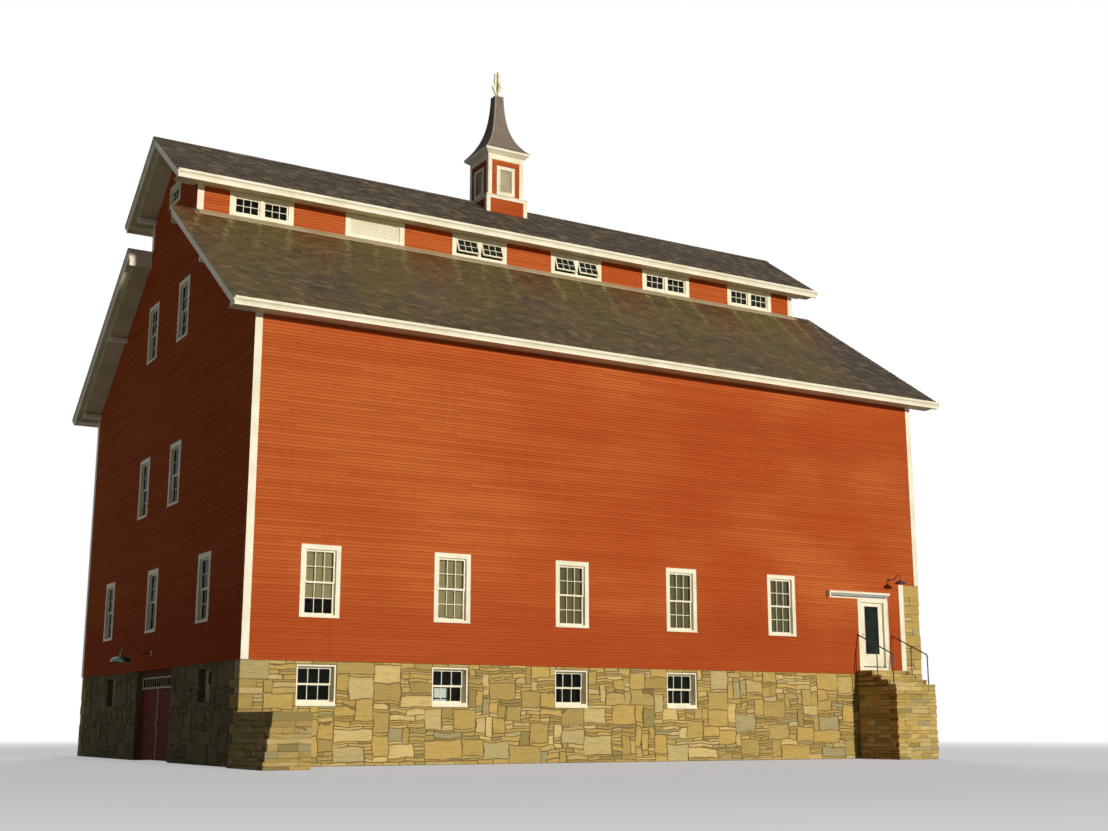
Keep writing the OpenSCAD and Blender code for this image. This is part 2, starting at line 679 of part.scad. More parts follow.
module window_glass() color(glass) {
    front_windows() sash_window_panes();
    back_windows() sash_window_panes();
    lower_gable_windows() sash_window_panes();
    upper_gable_windows() sash_window_panes();
    peak_windows() translate([0, 0, casing_w])
        pane(peak_win_w - 2 * casing_w, peak_win_h - 2 * casing_w, upper_sash_y);
    monitor_sash_places() pane(mon_sash_w, mon_lite_h, 0);
    cellar_front_windows() cellar_pane();
    cellar_back_windows() cellar_pane();
    cellar_gable_window_front() cellar_pane();
    cellar_gable_window_back() cellar_pane();
}
// Entry door: cased frame with a sill, and a glazed leaf that swings inwards
module at_entry() translate([entry_x, -hw, threshold_z]) children();
entry_hinges = [220, entry_h / 2, entry_h - 220];
hinge_h = 100;
jamb_d = entry_set + entry_t;
entry_pin_y = jamb_d + entry_knuckle_r;
hinge_leaf_t = 6;
hinge_leaf_w = 60;
module entry_door_frame() color(white) at_entry() {
    difference() {
        union() {
            translate([-entry_trim_w / 2, -board_t, landing_z - main_floor_t])
                cube([entry_trim_w, board_t, main_floor_t - landing_z + entry_open_h + entry_head_h]);
            translate([-entry_hole_w / 2, 0, -main_floor_t])
                cube([entry_hole_w, jamb_d, main_floor_t + entry_open_h + jamb_t]);
            translate([-entry_hole_w / 2, jamb_d, -main_floor_t])
                cube([entry_hole_w, wall_t - jamb_d, main_floor_t]);
        }
        translate([-entry_open_w / 2, -board_t - past, 0])
            cube([entry_open_w, wall_t + board_t + 2 * past, entry_open_h]);
    }
    for (z = entry_hinges) translate([entry_open_w / 2 - door_gap, entry_pin_y, z]) {
        cylinder(r = entry_pin_r, h = hinge_h, $fn = 32);
        translate([0, 0, -hinge_h / 2]) {
            cylinder(r = entry_knuckle_r, h = hinge_h / 2, $fn = 32);
            translate([0, -entry_knuckle_r, 0]) cube([door_gap + jamb_t, hinge_leaf_t, hinge_h / 2]);
        }
    }
}
module entry_door() color(white) at_entry() {
    difference() {
        translate([-entry_w / 2, entry_set, door_gap]) cube([entry_w, entry_t, entry_h]);
        translate([-entry_w / 2 + entry_stile, entry_set - past, door_gap + entry_rail])
            cube([entry_w - 2 * entry_stile, entry_t + 2 * past, entry_h - entry_rail - entry_stile * 0.6]);
    }
    for (z = entry_hinges) translate([entry_w / 2, entry_pin_y, z + hinge_gap]) difference() {
        union() {
            cylinder(r = entry_knuckle_r, h = hinge_h - hinge_gap, $fn = 32);
            translate([-hinge_leaf_w, -entry_knuckle_r, 0])
                cube([hinge_leaf_w, hinge_leaf_t, hinge_h - hinge_gap]);
        }
        translate([0, 0, -past]) cylinder(r = entry_pin_r + pin_play, h = hinge_h + 2 * past, $fn = 32);
    }
}
module entry_door_glass() color(glass) at_entry()
    translate([-entry_w / 2 + entry_stile, entry_set + (entry_t - glass_t) / 2, door_gap + entry_rail])
        cube([entry_w - 2 * entry_stile, glass_t, entry_h - entry_rail - entry_stile * 0.6]);
handle_x = 60; // middle of the lever's pivot from the leaf's edge
handle_z = 1000;
handle_r = 9;
handle_reach = 50;
module entry_door_handle() color(steel) at_entry() for (s = [-1, 1])
    translate([-entry_w / 2 + handle_x, entry_set + entry_t / 2 + s * entry_t / 2, handle_z])
        rotate([s * -90, 0, 0]) {
            translate([-20, -90, 0]) cube([40, 180, 4]);
            cylinder(r = handle_r, h = handle_reach, $fn = 24);
            translate([0, 0, handle_reach]) rotate([0, 90, 0]) cylinder(r = handle_r, h = 110, $fn = 24);
        }
hood_x1 = entry_x + entry_trim_w / 2;
hood_z0 = threshold_z + entry_open_h + entry_head_h;
hood_end_t = 50;
module door_hood() color(white) {
    block([hood_x1 - hood_l, -hw - hood_d, hood_z0 + hood_h - board_t], [hood_x1, -hw, hood_z0 + hood_h]);
    block([hood_x1 - hood_l, -hw - hood_d, hood_z0],
        [hood_x1 - hood_l + hood_end_t, -hw, hood_z0 + hood_h - board_t]);
    block([hood_x1 - hood_l, -hw - board_t, hood_z0], [hood_x1, -hw, hood_z0 + hood_h]);
}
// Box track with a slot along its underside, fixed under the hood's top board
track_w = 70;
track_h = 110;
track_t = 5;
track_slot = 20;
module door_track() color(steel) along_x(hood_x1 - hood_l + hood_end_t, hood_x1 - hood_end_t)
    translate([-hw - hood_d + board_t, hood_z0 + hood_h - board_t - track_h]) difference() {
        square([track_w, track_h]);
        translate([track_t, track_t]) square([track_w - 2 * track_t, track_h - 2 * track_t]);
        translate([(track_w - track_slot) / 2, -past]) square([track_slot, track_t + 2 * past]);
    }

// Basement doors: posts, head, barred light and boarded panel, and two leaves on pintles
strap_zs = [leaf_foot + 250, leaf_foot + leaf_h / 2 - strap_h / 2, leaf_foot + leaf_h - 310];
frame_x1 = leaf_x + leaf_t + 60;
head_h = 60;
lug_w = 20; // how far a pintle's lug runs over the post
bar_pitch = 215;
bar_set = 20; // how far the bars stand back in the frame
module at_hinges() for (z = strap_zs, s = [0, 1])
    translate([0, s == 0 ? door_y0 + post_w : door_y1 - post_w, z]) mirror([0, s, 0]) children();
module basement_door_frame() color(white) {
    for (y = [door_y0, door_y1 - post_w]) block([leaf_x, y, 0], [frame_x1, y + post_w, sill_z]);
    block([leaf_x, door_y0 + post_w, head_z], [frame_x1, door_y1 - post_w, head_z + head_h]);
    block([leaf_x, door_y0 + post_w, head_z + head_h + transom_h], [frame_x1, door_y1 - post_w, sill_z]);
    bars = floor((leaf_open_w - bar_w) / bar_pitch);
    for (i = [1:bars - 1]) let (y = door_y0 + post_w + i * leaf_open_w / bars)
        block([leaf_x + bar_set, y - bar_w / 2, head_z + head_h],
            [leaf_x + bar_set + bar_w, y + bar_w / 2, head_z + head_h + transom_h]);
    at_hinges() translate([pintle_x, door_gap, 0]) {
        translate([0, 0, -strap_h / 2]) cylinder(r = eye_r, h = strap_h / 2, $fn = 32);
        translate([0, 0, -strap_h / 2]) cylinder(r = pintle_r, h = strap_h * 1.5, $fn = 32);
        translate([-eye_r, -eye_r - door_gap - lug_w, -strap_h / 2])
            cube([2 * eye_r, eye_r + door_gap + lug_w, strap_h / 2]);
    }
}
module strap_hinge() difference() {
    union() {
        translate([pintle_x, 0, 0]) cylinder(r = eye_r, h = strap_h - hinge_gap, $fn = 32);
        translate([leaf_x - strap_t, 0, 0]) cube([strap_t, strap_l, strap_h - hinge_gap]);
    }
    translate([pintle_x, 0, -past]) cylinder(r = pintle_r + pin_play, h = strap_h + 2 * past, $fn = 32);
}
module basement_leaf(s) {
    y0 = s == 0 ? door_y0 + post_w + door_gap : door_y1 - post_w - door_gap - leaf_w;
    block([leaf_x, y0, leaf_foot], [leaf_x + leaf_t, y0 + leaf_w, leaf_top]);
    for (z = strap_zs) translate([0, s == 0 ? y0 : y0 + leaf_w, z + hinge_gap])
        mirror([0, s, 0]) strap_hinge();
}
astragal_w = 70;
module basement_door_front_leaf() color(dark_red) {
    basement_leaf(0);
    y1 = door_y0 + post_w + door_gap + leaf_w;
    block([leaf_x - board_t, y1 - astragal_w, leaf_foot], [leaf_x, y1, leaf_top]);
}
module basement_door_back_leaf() color(dark_red) basement_leaf(1);

// Stoop: a stone pier that carries a landing and three steps
stoop_z = sill_z + landing_z;
steps = 3;
stoop_shift = 50; // the stoop reaches further on the side of the gable
stoop_x = entry_x + stoop_shift;
module stoop() color(stone) translate([stoop_x - stoop_w / 2, 0, 0]) {
    for (i = [0:steps]) let (y0 = -hw - landing_d - i * tread_d)
        block([0, y0, 0], [stoop_w, i == 0 ? -hw - board_t : y0 + tread_d, stoop_z - i * riser_h]);
    block([0, -hw - landing_d, 0], [stoop_w, -hw + stone_inset, sill_z]);
}

// Bent round bars, drawn in a plane with u outwards and v up. Each bend stops just short of
// the couplings at its ends, which take up both tubes.
joint_gap = 1;
module outwards() rotate([90, 0, -90]) children();
module bend(r, tube, a0, a) let (cut = joint_gap / r * 180 / PI)
    rotate([0, 0, a0 + cut]) rotate_extrude(angle = a - 2 * cut, $fn = 64)
        translate([r, 0]) circle(tube, $fn = 24);
module straight_bar(p, tube, a, l) translate([p.x, p.y, 0]) rotate([0, 0, a]) rotate([0, 90, 0])
    cylinder(r = tube, h = l, $fn = 24);
module coupling(p, tube, a) translate([p.x, p.y, 0]) rotate([0, 0, a]) rotate([0, 90, 0])
    translate([0, 0, -tube]) cylinder(r = 1.25 * tube, h = 2 * tube, $fn = 24);

// Handrail: a sloping rail from a flange on the wall, a middle post, and a lower end bent down
// into a post
rail_end = landing_d + (steps - 0.5) * tread_d;
rail_mid = landing_d + 0.5 * tread_d;
rail_bend_r = 90;
rail_flange_t = 8;
post_play = 2;
function rail_z(d) = sill_z + rail_h - d * rail_fall / 1000;
module handrail(x) translate([x, -hw, 0]) outwards() {
    fall = atan(rail_fall / 1000);
    bend_d = rail_end - rail_bend_r * (1 - sin(fall));
    start = rail_flange_t + joint_gap;
    centre = [bend_d, rail_z(bend_d)] - rail_bend_r * [sin(fall), cos(fall)];
    straight_bar([0, rail_z(0)], 2 * rail_r, 0, rail_flange_t);
    straight_bar([start, rail_z(start)], rail_r, -fall, (bend_d - start) / cos(fall) - joint_gap);
    coupling([bend_d, rail_z(bend_d)], rail_r, -fall);
    translate(centre) bend(rail_bend_r, rail_r, 0, 90 - fall);
    coupling([rail_end, centre.y], rail_r, -90);
    straight_bar([rail_end, centre.y - joint_gap], rail_r, -90,
        centre.y - joint_gap - stoop_z + steps * riser_h);
    straight_bar([rail_mid, rail_z(rail_mid)], rail_r - post_play, -90, rail_z(rail_mid) - stoop_z + riser_h);
}
rail_inset = 80;
module handrails() color(iron) for (s = [-1, 1]) handrail(stoop_x + s * (stoop_w / 2 - rail_inset));

// Gooseneck lamp: wall flange, bent conduit and a dished shade
conduit_r = 13;
lamp_flange_r = 60;
lamp_flange_t = 12;
neck_rise = 60; // degrees that the neck climbs before it turns over
neck_drop = 30;
shade_wall = 4;
shade_neck_r = 45;
shade_neck = 0.35; // share of the shade's height that its neck takes
function dish(r, h, z, r0) = [for (i = [0:7]) let (a = 90 * i / 7)
    [r0 + (r - r0) * sin(a), z - (h + z) * (1 - cos(a))]];
module shade(r, h) {
    z = -h * shade_neck;
    inner = dish(r - shade_wall, h, z - shade_wall, shade_neck_r - shade_wall);
    rotate_extrude($fn = 48) polygon(concat([[0, 0], [shade_neck_r, 0]], dish(r, h, z, shade_neck_r),
        [for (i = [7:-1:0]) inner[i]], [[0, z - shade_wall]]));
}
module gooseneck_lamp(reach, rise_r, over_r, shade_d, shade_h) {
    straight = reach - sin(neck_rise) * (rise_r + over_r) - over_r;
    crest = [straight + rise_r * sin(neck_rise), rise_r * (1 - cos(neck_rise))];
    over = crest + over_r * [sin(neck_rise), -cos(neck_rise)];
    outwards() {
        straight_bar([0, 0], lamp_flange_r, 0, lamp_flange_t);
        straight_bar([0, 0], conduit_r, 0, straight - joint_gap);
        coupling([straight, 0], conduit_r, 0);
        translate([straight, rise_r]) bend(rise_r, conduit_r, -90, neck_rise);
        coupling(crest, conduit_r, neck_rise);
        translate(over) bend(over_r, conduit_r, 0, 90 + neck_rise);
        coupling([reach, over.y], conduit_r, -90);
        straight_bar([reach, over.y - joint_gap], conduit_r, -90, neck_drop);
    }
    translate([0, -reach, over.y - neck_drop / 2 - conduit_r]) shade(shade_d / 2, shade_h);
}
gable_lamp_y = 320; // from the middle of the basement doorway
gable_lamp_z = 470;
front_lamp_x = 130; // from the end of the hood
front_lamp_z = 3010;
module gable_lamp() color(enamel) on_west(-cellar_door_y + gable_lamp_y, sill_z + gable_lamp_z)
    gooseneck_lamp(gable_lamp_reach, 250, 220, gable_lamp_d, 260);
module front_lamp() color(enamel) on_front(hood_x1 + front_lamp_x, sill_z + front_lamp_z)
    gooseneck_lamp(front_lamp_reach, 120, 120, front_lamp_d, 130);

// Cupola
cupola_z = ridge_z + cupola_base_rise;
base_hw = cupola_base_w / 2;
module cupola_base() color(red) along_x(-base_hw, base_hw) polygon([[-base_hw, mon_top(base_hw) + bed],
    [0, ridge_z + bed], [base_hw, mon_top(base_hw) + bed], [base_hw, cupola_z], [-base_hw, cupola_z]]);
module four_faces() for (a = [0:90:270]) rotate([0, 0, a]) children();
module cupola_body() color(white) translate([0, 0, cupola_z]) difference() {
    translate([-cupola_w / 2, -cupola_w / 2, 0]) cube([cupola_w, cupola_w, cupola_h]);
    translate([-cupola_w / 2 + cupola_t, -cupola_w / 2 + cupola_t, -past])
        cube([cupola_w - 2 * cupola_t, cupola_w - 2 * cupola_t, cupola_h - cupola_t + past]);
    four_faces() translate([-louvre_w / 2, -cupola_w / 2 - past, louvre_z])
        cube([louvre_w, cupola_t + 2 * past, louvre_h]);
}
louvre_trim = 110;
cupola_slats = 12;
module cupola_louvres() color(white) translate([0, 0, cupola_z]) four_faces()
    translate([0, -cupola_w / 2, louvre_z]) {
        difference() {
            translate([-louvre_w / 2 - louvre_trim, -board_t, -louvre_trim])
                cube([louvre_w + 2 * louvre_trim, board_t, louvre_h + 2 * louvre_trim]);
            translate([-louvre_w / 2, -board_t - past, 0]) cube([louvre_w, board_t + 2 * past, louvre_h]);
        }
        translate([0, -board_t, 0]) intersection() {
            slats(louvre_w, louvre_h, board_t + cupola_t, cupola_slats);
            translate([-louvre_w / 2, 0, 0]) cube([louvre_w, board_t + cupola_t, louvre_h]);
        }
    }
cornice_z = cupola_z + cupola_h;
cornice_foot_hw = cupola_w / 2 + board_t; // half-width where the crown moulding starts
cornice_face_h = 90;
module cornice_outline() {
    side = [[cornice_foot_hw, 0], [cornice_foot_hw + 15, 0], [cornice_hw - 15, cornice_h - cornice_face_h],
        [cornice_hw, cornice_h - cornice_face_h], [cornice_hw, cornice_h]];
    polygon(concat(side, [for (i = [len(side) - 1:-1:0]) [-side[i].x, side[i].y]]));
}
module crossed(hw) intersection() {
    along_y(-hw, hw) children();
    along_x(-hw, hw) children();
}
module cupola_cornice() color(white) translate([0, 0, cornice_z]) crossed(cornice_hw) cornice_outline();
// Half-width of the flared roof at a height above its foot
function spire_w(h) = spire_tip + (cornice_hw - spire_tip) * exp(-h / spire_fall);
spire_z = cornice_z + cornice_h;
spire_steps = 14;
module spire_outline() {
    side = [for (i = [0:spire_steps]) let (h = spire_h * pow(i / spire_steps, 1.5)) [spire_w(h), h]];
    polygon(concat(side, [for (i = [spire_steps:-1:0]) [-side[i].x, side[i].y]]));
}
module cupola_roof() color(slate) translate([0, 0, spire_z]) crossed(cornice_hw) spire_outline();
// Finial: two profiled boards that cross; the column ends in a half circle
finial_k = finial_h / 1000;
col_hw = 122;
module finial_outline() scale([1, finial_k]) {
    side = [[95, 0], [108, 50], [78, 140], [134, 240], [215, 410], [130, 530], [col_hw, 560],
        [col_hw, 1000 - col_hw]];
    polygon(concat(side, [for (i = [len(side) - 1:-1:0]) [-side[i].x, side[i].y]]));
    translate([0, 1000 - col_hw]) circle(col_hw, $fn = 32);
}
module finial() color(white) translate([0, 0, spire_z + spire_h]) union() {
    along_y(-finial_t / 2, finial_t / 2) finial_outline();
    along_x(-finial_t / 2, finial_t / 2) finial_outline();
}

foundation_front();
foundation_back();
foundation_west_front();
foundation_west_back();
foundation_east();
wing_wall();
basement_floor();
main_floor();
second_floor();
loft_floor();
front_wall_left();
front_wall_over_door();
front_wall_right();
back_wall();
west_gable_wall();
east_gable_wall();
west_monitor_gable();
east_monitor_gable();
monitor_front_wall();
monitor_back_wall();
main_roof_front();
main_roof_back();
monitor_roof_front();
monitor_roof_back();
eave_fascias();
eave_soffits();
rake_boards();
lookouts();
corner_boards();
monitor_flashings();
windows_front();
windows_back();
windows_gables();
windows_basement();
windows_monitor();
monitor_sashes();
monitor_louvres();
window_glass();
entry_door_frame();
entry_door();
entry_door_glass();
entry_door_handle();
door_hood();
door_track();
basement_door_frame();
basement_door_front_leaf();
basement_door_back_leaf();
stoop();
handrails();
gable_lamp();
front_lamp();
cupola_base();
cupola_body();
cupola_louvres();
cupola_cornice();
cupola_roof();
finial();
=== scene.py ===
import math

import bpy
import numpy as np
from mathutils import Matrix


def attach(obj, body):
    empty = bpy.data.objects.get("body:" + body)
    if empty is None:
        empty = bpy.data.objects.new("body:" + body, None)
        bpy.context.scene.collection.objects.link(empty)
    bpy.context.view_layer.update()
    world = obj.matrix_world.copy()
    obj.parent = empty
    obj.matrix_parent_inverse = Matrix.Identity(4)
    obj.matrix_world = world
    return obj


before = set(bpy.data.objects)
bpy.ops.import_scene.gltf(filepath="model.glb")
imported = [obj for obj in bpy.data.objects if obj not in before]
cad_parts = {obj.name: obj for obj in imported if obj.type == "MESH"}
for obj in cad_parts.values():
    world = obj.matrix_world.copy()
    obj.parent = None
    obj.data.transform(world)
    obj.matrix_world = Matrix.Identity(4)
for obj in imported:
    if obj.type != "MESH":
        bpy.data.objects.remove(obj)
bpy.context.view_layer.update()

# Metres, in the frame of the solids: x along the ridge, y into the building, z up
barn = {
    "halfLength": 11.43,
    "halfWidth": 8.205,
    "halfMonitor": 2.362,
    "pitch": math.radians(35),
    "sidingFoot": 2.6,
    "soffit": 11.445,
    "monitorSoffit": 16.8808,
    "eaveRise": 0.152,
    "eaveOver": 0.585,
    "monitorOver": 0.566,
    "rakeOver": 0.755,
    "roofDepth": 0.46,
    "flashing": 0.33,
    "stoneInset": 0.03,
    "stoneThick": 0.7,
    "uphillStone": 2.88,
    "bay": 3.765,
    "cornerBoard": 0.2,
}
halfL = barn["halfLength"]
halfW = barn["halfWidth"]
halfM = barn["halfMonitor"]
slope = math.tan(barn["pitch"])
foot = barn["sidingFoot"]
bays = [(i - 2.5) * barn["bay"] for i in range(6)]
eaveEdge = halfW + barn["eaveOver"]
monitorEdge = halfM + barn["monitorOver"]
rakeEnd = halfL + barn["rakeOver"]
stoneTop = foot + barn["uphillStone"]


# Height of the main roof's top over y: the eave's, and the slope times the way in from it
def mainTop(y):
    return barn["soffit"] + barn["eaveRise"] + (eaveEdge - abs(y)) * slope


# The same for the monitor's roof
def monitorTop(y):
    return barn["monitorSoffit"] + barn["eaveRise"] + (monitorEdge - abs(y)) * slope


monitorFoot = mainTop(halfM)
ridge = monitorTop(0)


# Materials. Colours are sRGB hex values, turned linear here
def toLinear(code):
    parts = [int(code[i:i + 2], 16) / 255 for i in (1, 3, 5)]
    return [p / 12.92 if p <= 0.04045 else ((p + 0.055) / 1.055) ** 2.4 for p in parts] + [1.0]


# Adds one node with its settings, links or values; returns one of its outputs. A kind may carry
# its operation after a full stop; the inputs go by name, or in their order as a list
def addNode(tree, kind, inputs=(), output=0, stops=(), **settings):
    kind, _, operation = kind.partition(".")
    item = tree.nodes.new("ShaderNode" + kind)
    if operation:
        item.operation = operation
    for key, value in settings.items():
        setattr(item, key, value)
    for k, (position, code) in enumerate(stops):
        ramp = item.color_ramp.elements
        element = ramp[k] if k < 2 else ramp.new(position)
        element.position = position
        element.color = toLinear(code)
    for key, value in inputs.items() if isinstance(inputs, dict) else enumerate(inputs):
        if isinstance(value, bpy.types.NodeSocket):
            tree.links.new(value, item.inputs[key])
        else:
            item.inputs[key].default_value = value
    return item.outputs[output] if item.outputs else item


# A material with one shader; shine is the share of light that its surface mirrors
def newMaterial(name, rough, shine=0.5, **fixed):
    material = bpy.data.materials.new(name)
    material.use_nodes = True
    tree = material.node_tree
    tree.nodes.clear()
    fixed.update({"Roughness": rough, "Specular IOR Level": shine})
    shader = addNode(tree, "BsdfPrincipled", fixed)
    addNode(tree, "OutputMaterial", {"Surface": shader})
    return material, tree, shader.node


# Puts another shader in the place of a material's own
def showInstead(tree, shader):
    end = [item for item in tree.nodes if item.type == "OUTPUT_MATERIAL"][0]
    tree.links.new(shader, end.inputs["Surface"])


# A cloudy pattern with patches as long as the given millimetres along x, y and z
def cloud(tree, size, detail=3.0, rough=0.55):
    place = addNode(tree, "TexCoord", output="Object")
    place = addNode(tree, "Mapping", {"Vector": place, "Scale": [1000 / v for v in size]})
    return addNode(tree, "TexNoise", {"Vector": place, "Scale": 1.0, "Detail": detail, "Roughness": rough})


# Lays a colour over another, from none where the pattern is at start to the full amount at end
def glaze(tree, under, code, pattern, start, end, amount=1.0):
    share = addNode(tree, "MapRange", [pattern, start, end, 0.0, amount],
                    interpolation_type="SMOOTHSTEP")
    return addNode(tree, "Mix", {0: share, 6: under, 7: toLinear(code)}, output=2, data_type="RGBA")


# Lays several colours in turn, each with its pattern, start, end and amount
def glazed(tree, colour, *layers):
    for layer in layers:
        colour = glaze(tree, colour, *layer)
    return colour


# Gives the shader its colour, and a relief of the given depth in millimetres
def dress(tree, shader, colour, pattern, depth, strength=1.0):
    tree.links.new(colour, shader.inputs["Base Color"])
    bump = addNode(tree, "Bump", {"Height": pattern, "Strength": strength, "Distance": depth / 1000})
    tree.links.new(bump, shader.inputs["Normal"])


# Spruce clapboards, planed and brushed with an opaque barn-red oil stain: matt, each board of a
# slightly different red, faded in patches, with rain marks down the wall and a raised grain. The
# grime colour also paints shadow along the top of each course, under the lap above, and the
# faded colour paints a highlight along each board's foot
sidingLook = {"exposure": 0.0889, "boardLength": 3.6, "fresh": "#B54F20", "fadedAndHighlight": "#C4652F",
              "deep": "#A44018", "grime": "#571C0E"}


def makeSiding():
    look = sidingLook
    material, tree, shader = newMaterial("stained spruce clapboard", 0.9, 0.05)
    place = addNode(tree, "TexCoord", output="Object")
    x, y, z = addNode(tree, "SeparateXYZ", [place]).node.outputs
    rise = addNode(tree, "Math.SUBTRACT", [z, foot])
    courseAt = addNode(tree, "Math.DIVIDE", [rise, look["exposure"]])
    course = addNode(tree, "Math.FLOOR", [addNode(tree, "Math", [courseAt, 0.01])])
    start = addNode(tree, "TexWhiteNoise", {"W": course}, noise_dimensions="1D")
    along = addNode(tree, "Math", [x, y])
    along = addNode(tree, "Math.DIVIDE", [along, look["boardLength"]])
    boardAt = addNode(tree, "Math.MULTIPLY_ADD", [start, 9.0, along])
    board = addNode(tree, "Math.FLOOR", [boardAt])
    tone = addNode(tree, "CombineXYZ", [course, board])
    tone = addNode(tree, "TexWhiteNoise", {"Vector": tone}, noise_dimensions="2D")
    ragged = addNode(tree, "Math.MULTIPLY_ADD", [cloud(tree, (2600, 2600, 900)), 2.2, rise])
    height = addNode(tree, "Math.FRACT", [courseAt])
    butt = addNode(tree, "Math.PINGPONG", [boardAt, 0.5])
    grain = cloud(tree, (420, 420, 5), 3)
    fadedAndHighlight, deep, grime = look["fadedAndHighlight"], look["deep"], look["grime"]
    # Painted shade and light: each course darkens towards its top, as if shaded by the lap above, and is
    # lighter at its foot, as if its lip caught the light
    colour = glazed(tree, toLinear(look["fresh"]),
                    (fadedAndHighlight, cloud(tree, (4500, 4500, 2600), 2), 0.35, 0.7), (fadedAndHighlight, x, 4.0, -11.0, 0.6),
                    (deep, ragged, 3.5, 2.3, 0.6), (deep, tone, 0.9, 0.0, 0.4),
                    (grime, cloud(tree, (240, 240, 5200), 4), 0.55, 0.85, 0.16),
                    (grime, height, 0.84, 0.98, 0.7), (fadedAndHighlight, height, 0.3, 0.05, 0.45),
                    (grime, butt, 0.0010, 0.0004, 0.7), (grime, grain, 0.4, 0.8, 0.14))
    dress(tree, shader, colour, grain, 1.5, 0.4)
    return material


# A finish in layers: a base colour, and colours laid over it by cloudy patterns from their start
# to their end, up to an amount; its relief is a pattern, a depth in millimetres and a strength
def layered(name, base, layers, relief, rough, shine=0.5, **fixed):
    material, tree, shader = newMaterial(name, rough, shine, **fixed)
    layers = [(code, cloud(tree, *pattern), *reach) for code, pattern, reach in layers]
    colour = glazed(tree, toLinear(base), *layers)
    pattern, depth, strength = relief
    dress(tree, shader, colour, cloud(tree, *pattern), depth, strength)
    return material


# Boards planed and painted with oil paint that has chalked: half matt, warmer and grimy in
# places, with drips down from the joints and faint brush marks
def makePaint(name, clean, warm, grime, rough=0.5, shine=0.2):
    layers = [(warm, ((800, 800, 800), 4), (0.35, 0.7)), (grime, ((70, 70, 1100), 5), (0.56, 0.82, 0.3))]
    return layered(name, clean, layers, (((14, 14, 160),), 0.8, 0.2), rough, shine)


# Quarried roofing slate, split by hand: leafy and half matt, each slate of its own brown-grey.
# Below the monitor rain has carried moss green, chalk and rust red down the slope, driven to one
# side by the wind: 0.39 m for each metre away from the monitor's wall
slateLook = {"stone": ["#3A3026", "#4A4034", "#584B3A", "#43392E", "#665641"], "upper": "#765F34",
             "moss": "#5D5426", "rust": "#6E3F1A", "chalk": "#B59C62", "soot": "#302822", "drift": 0.39}


def makeSlate():
    look = slateLook
    material, tree, shader = newMaterial("split roofing slate", 0.75, 0.15)
    tone = addNode(tree, "Attribute", attribute_name="tone", output="Fac")
    stops = [(k / 4, code) for k, code in enumerate(look["stone"])]
    colour = addNode(tree, "ValToRGB", [tone], stops=stops)
    place = addNode(tree, "TexCoord", output="Object")
    x, y, z = addNode(tree, "SeparateXYZ", [place]).node.outputs
    depth = addNode(tree, "Math.ABSOLUTE", [y])
    depth = addNode(tree, "Math.SUBTRACT", [depth, halfM])
    below = addNode(tree, "Math.LESS_THAN", [z, monitorFoot + 0.2])
    source = addNode(tree, "Math.MULTIPLY_ADD", [depth, look["drift"], x])
    shaken = addNode(tree, "Math.MULTIPLY_ADD", [cloud(tree, (900, 900, 900), 3), 0.5, source])
    shaken = addNode(tree, "Math.SUBTRACT", [shaken, 0.25])
    cycle = addNode(tree, "Math.DIVIDE", [shaken, barn["bay"]])
    cycle = addNode(tree, "Math.FRACT", [cycle])
    offMiddle = addNode(tree, "Math.SUBTRACT", [cycle, 0.5])
    offMiddle = addNode(tree, "Math.ABSOLUTE", [offMiddle])
    fromBay = addNode(tree, "Math.MULTIPLY", [offMiddle, barn["bay"]])
    patch = cloud(tree, (1500, 1500, 1500), 4, 0.6)
    fine = cloud(tree, (170, 170, 110), 4, 0.65)
    near = addNode(tree, "MapRange", [depth, 5.8, 0.6, 0.42, 0.85])
    washed = addNode(tree, "MapRange", [source, halfL + 0.5, halfL - 0.5], interpolation_type="SMOOTHSTEP")
    washed = addNode(tree, "Math.MULTIPLY", [washed, below])
    near = addNode(tree, "Math.MULTIPLY", [near, washed])
    mossy = addNode(tree, "Math.MULTIPLY", [near, 0.55])
    rusty = addNode(tree, "MapRange", [depth, 3.6, 0.4, 0.0, 0.62])
    rusty = addNode(tree, "Math.MULTIPLY", [rusty, below])
    pale = addNode(tree, "MapRange", [depth, 3.4, 0.3, 0.0, 0.85])
    pale = addNode(tree, "Math.MULTIPLY", [pale, below])
    pale = addNode(tree, "MapRange", [fine, 0.44, 0.6, 0.0, pale])
    side = addNode(tree, "Math.SUBTRACT", [fromBay, 0.95])
    side = addNode(tree, "Math.ABSOLUTE", [side])
    middle = addNode(tree, "Math.MULTIPLY", [pale, 0.7])
    ends = addNode(tree, "Math.ABSOLUTE", [shaken])
    ends = addNode(tree, "Math.SUBTRACT", [ends, halfL - 0.1])
    ends = addNode(tree, "Math.ABSOLUTE", [ends])
    chalk, soot = look["chalk"], look["soot"]
    colour = glazed(tree, colour, (look["upper"], patch, 0.2, 0.6, near),
                    (look["moss"], fromBay, 1.25, 0.8, mossy), (look["rust"], fromBay, 0.98, 1.35, rusty),
                    (chalk, side, 0.16, 0.02, pale), (chalk, fromBay, 0.12, 0.02, middle),
                    (chalk, ends, 0.16, 0.02, pale),
                    (soot, cloud(tree, (700, 700, 500), 5, 0.65), 0.5, 0.8, 0.5),
                    (soot, tone, 0.4, 0.0, 0.26), (chalk, tone, 0.65, 1.0, 0.13))
    dress(tree, shader, colour, cloud(tree, (55, 55, 55), 5, 0.6), 4.0, 0.4)
    return material


# Split schist field stone: matt, in flat leaves, ochre where it has weathered and grey where it
# is fresh, with pale lichen spots; on the side that gets no sun a dark green-grey is laid over it
# as painted shade
stoneLook = {"stone": ["#93804A", "#B89A52", "#C7A558", "#A98E4C", "#D6BA74", "#9F9265"],
             "seam": "#75603A", "lichen": "#CFC08A", "shadeGreenGrey": "#414131"}


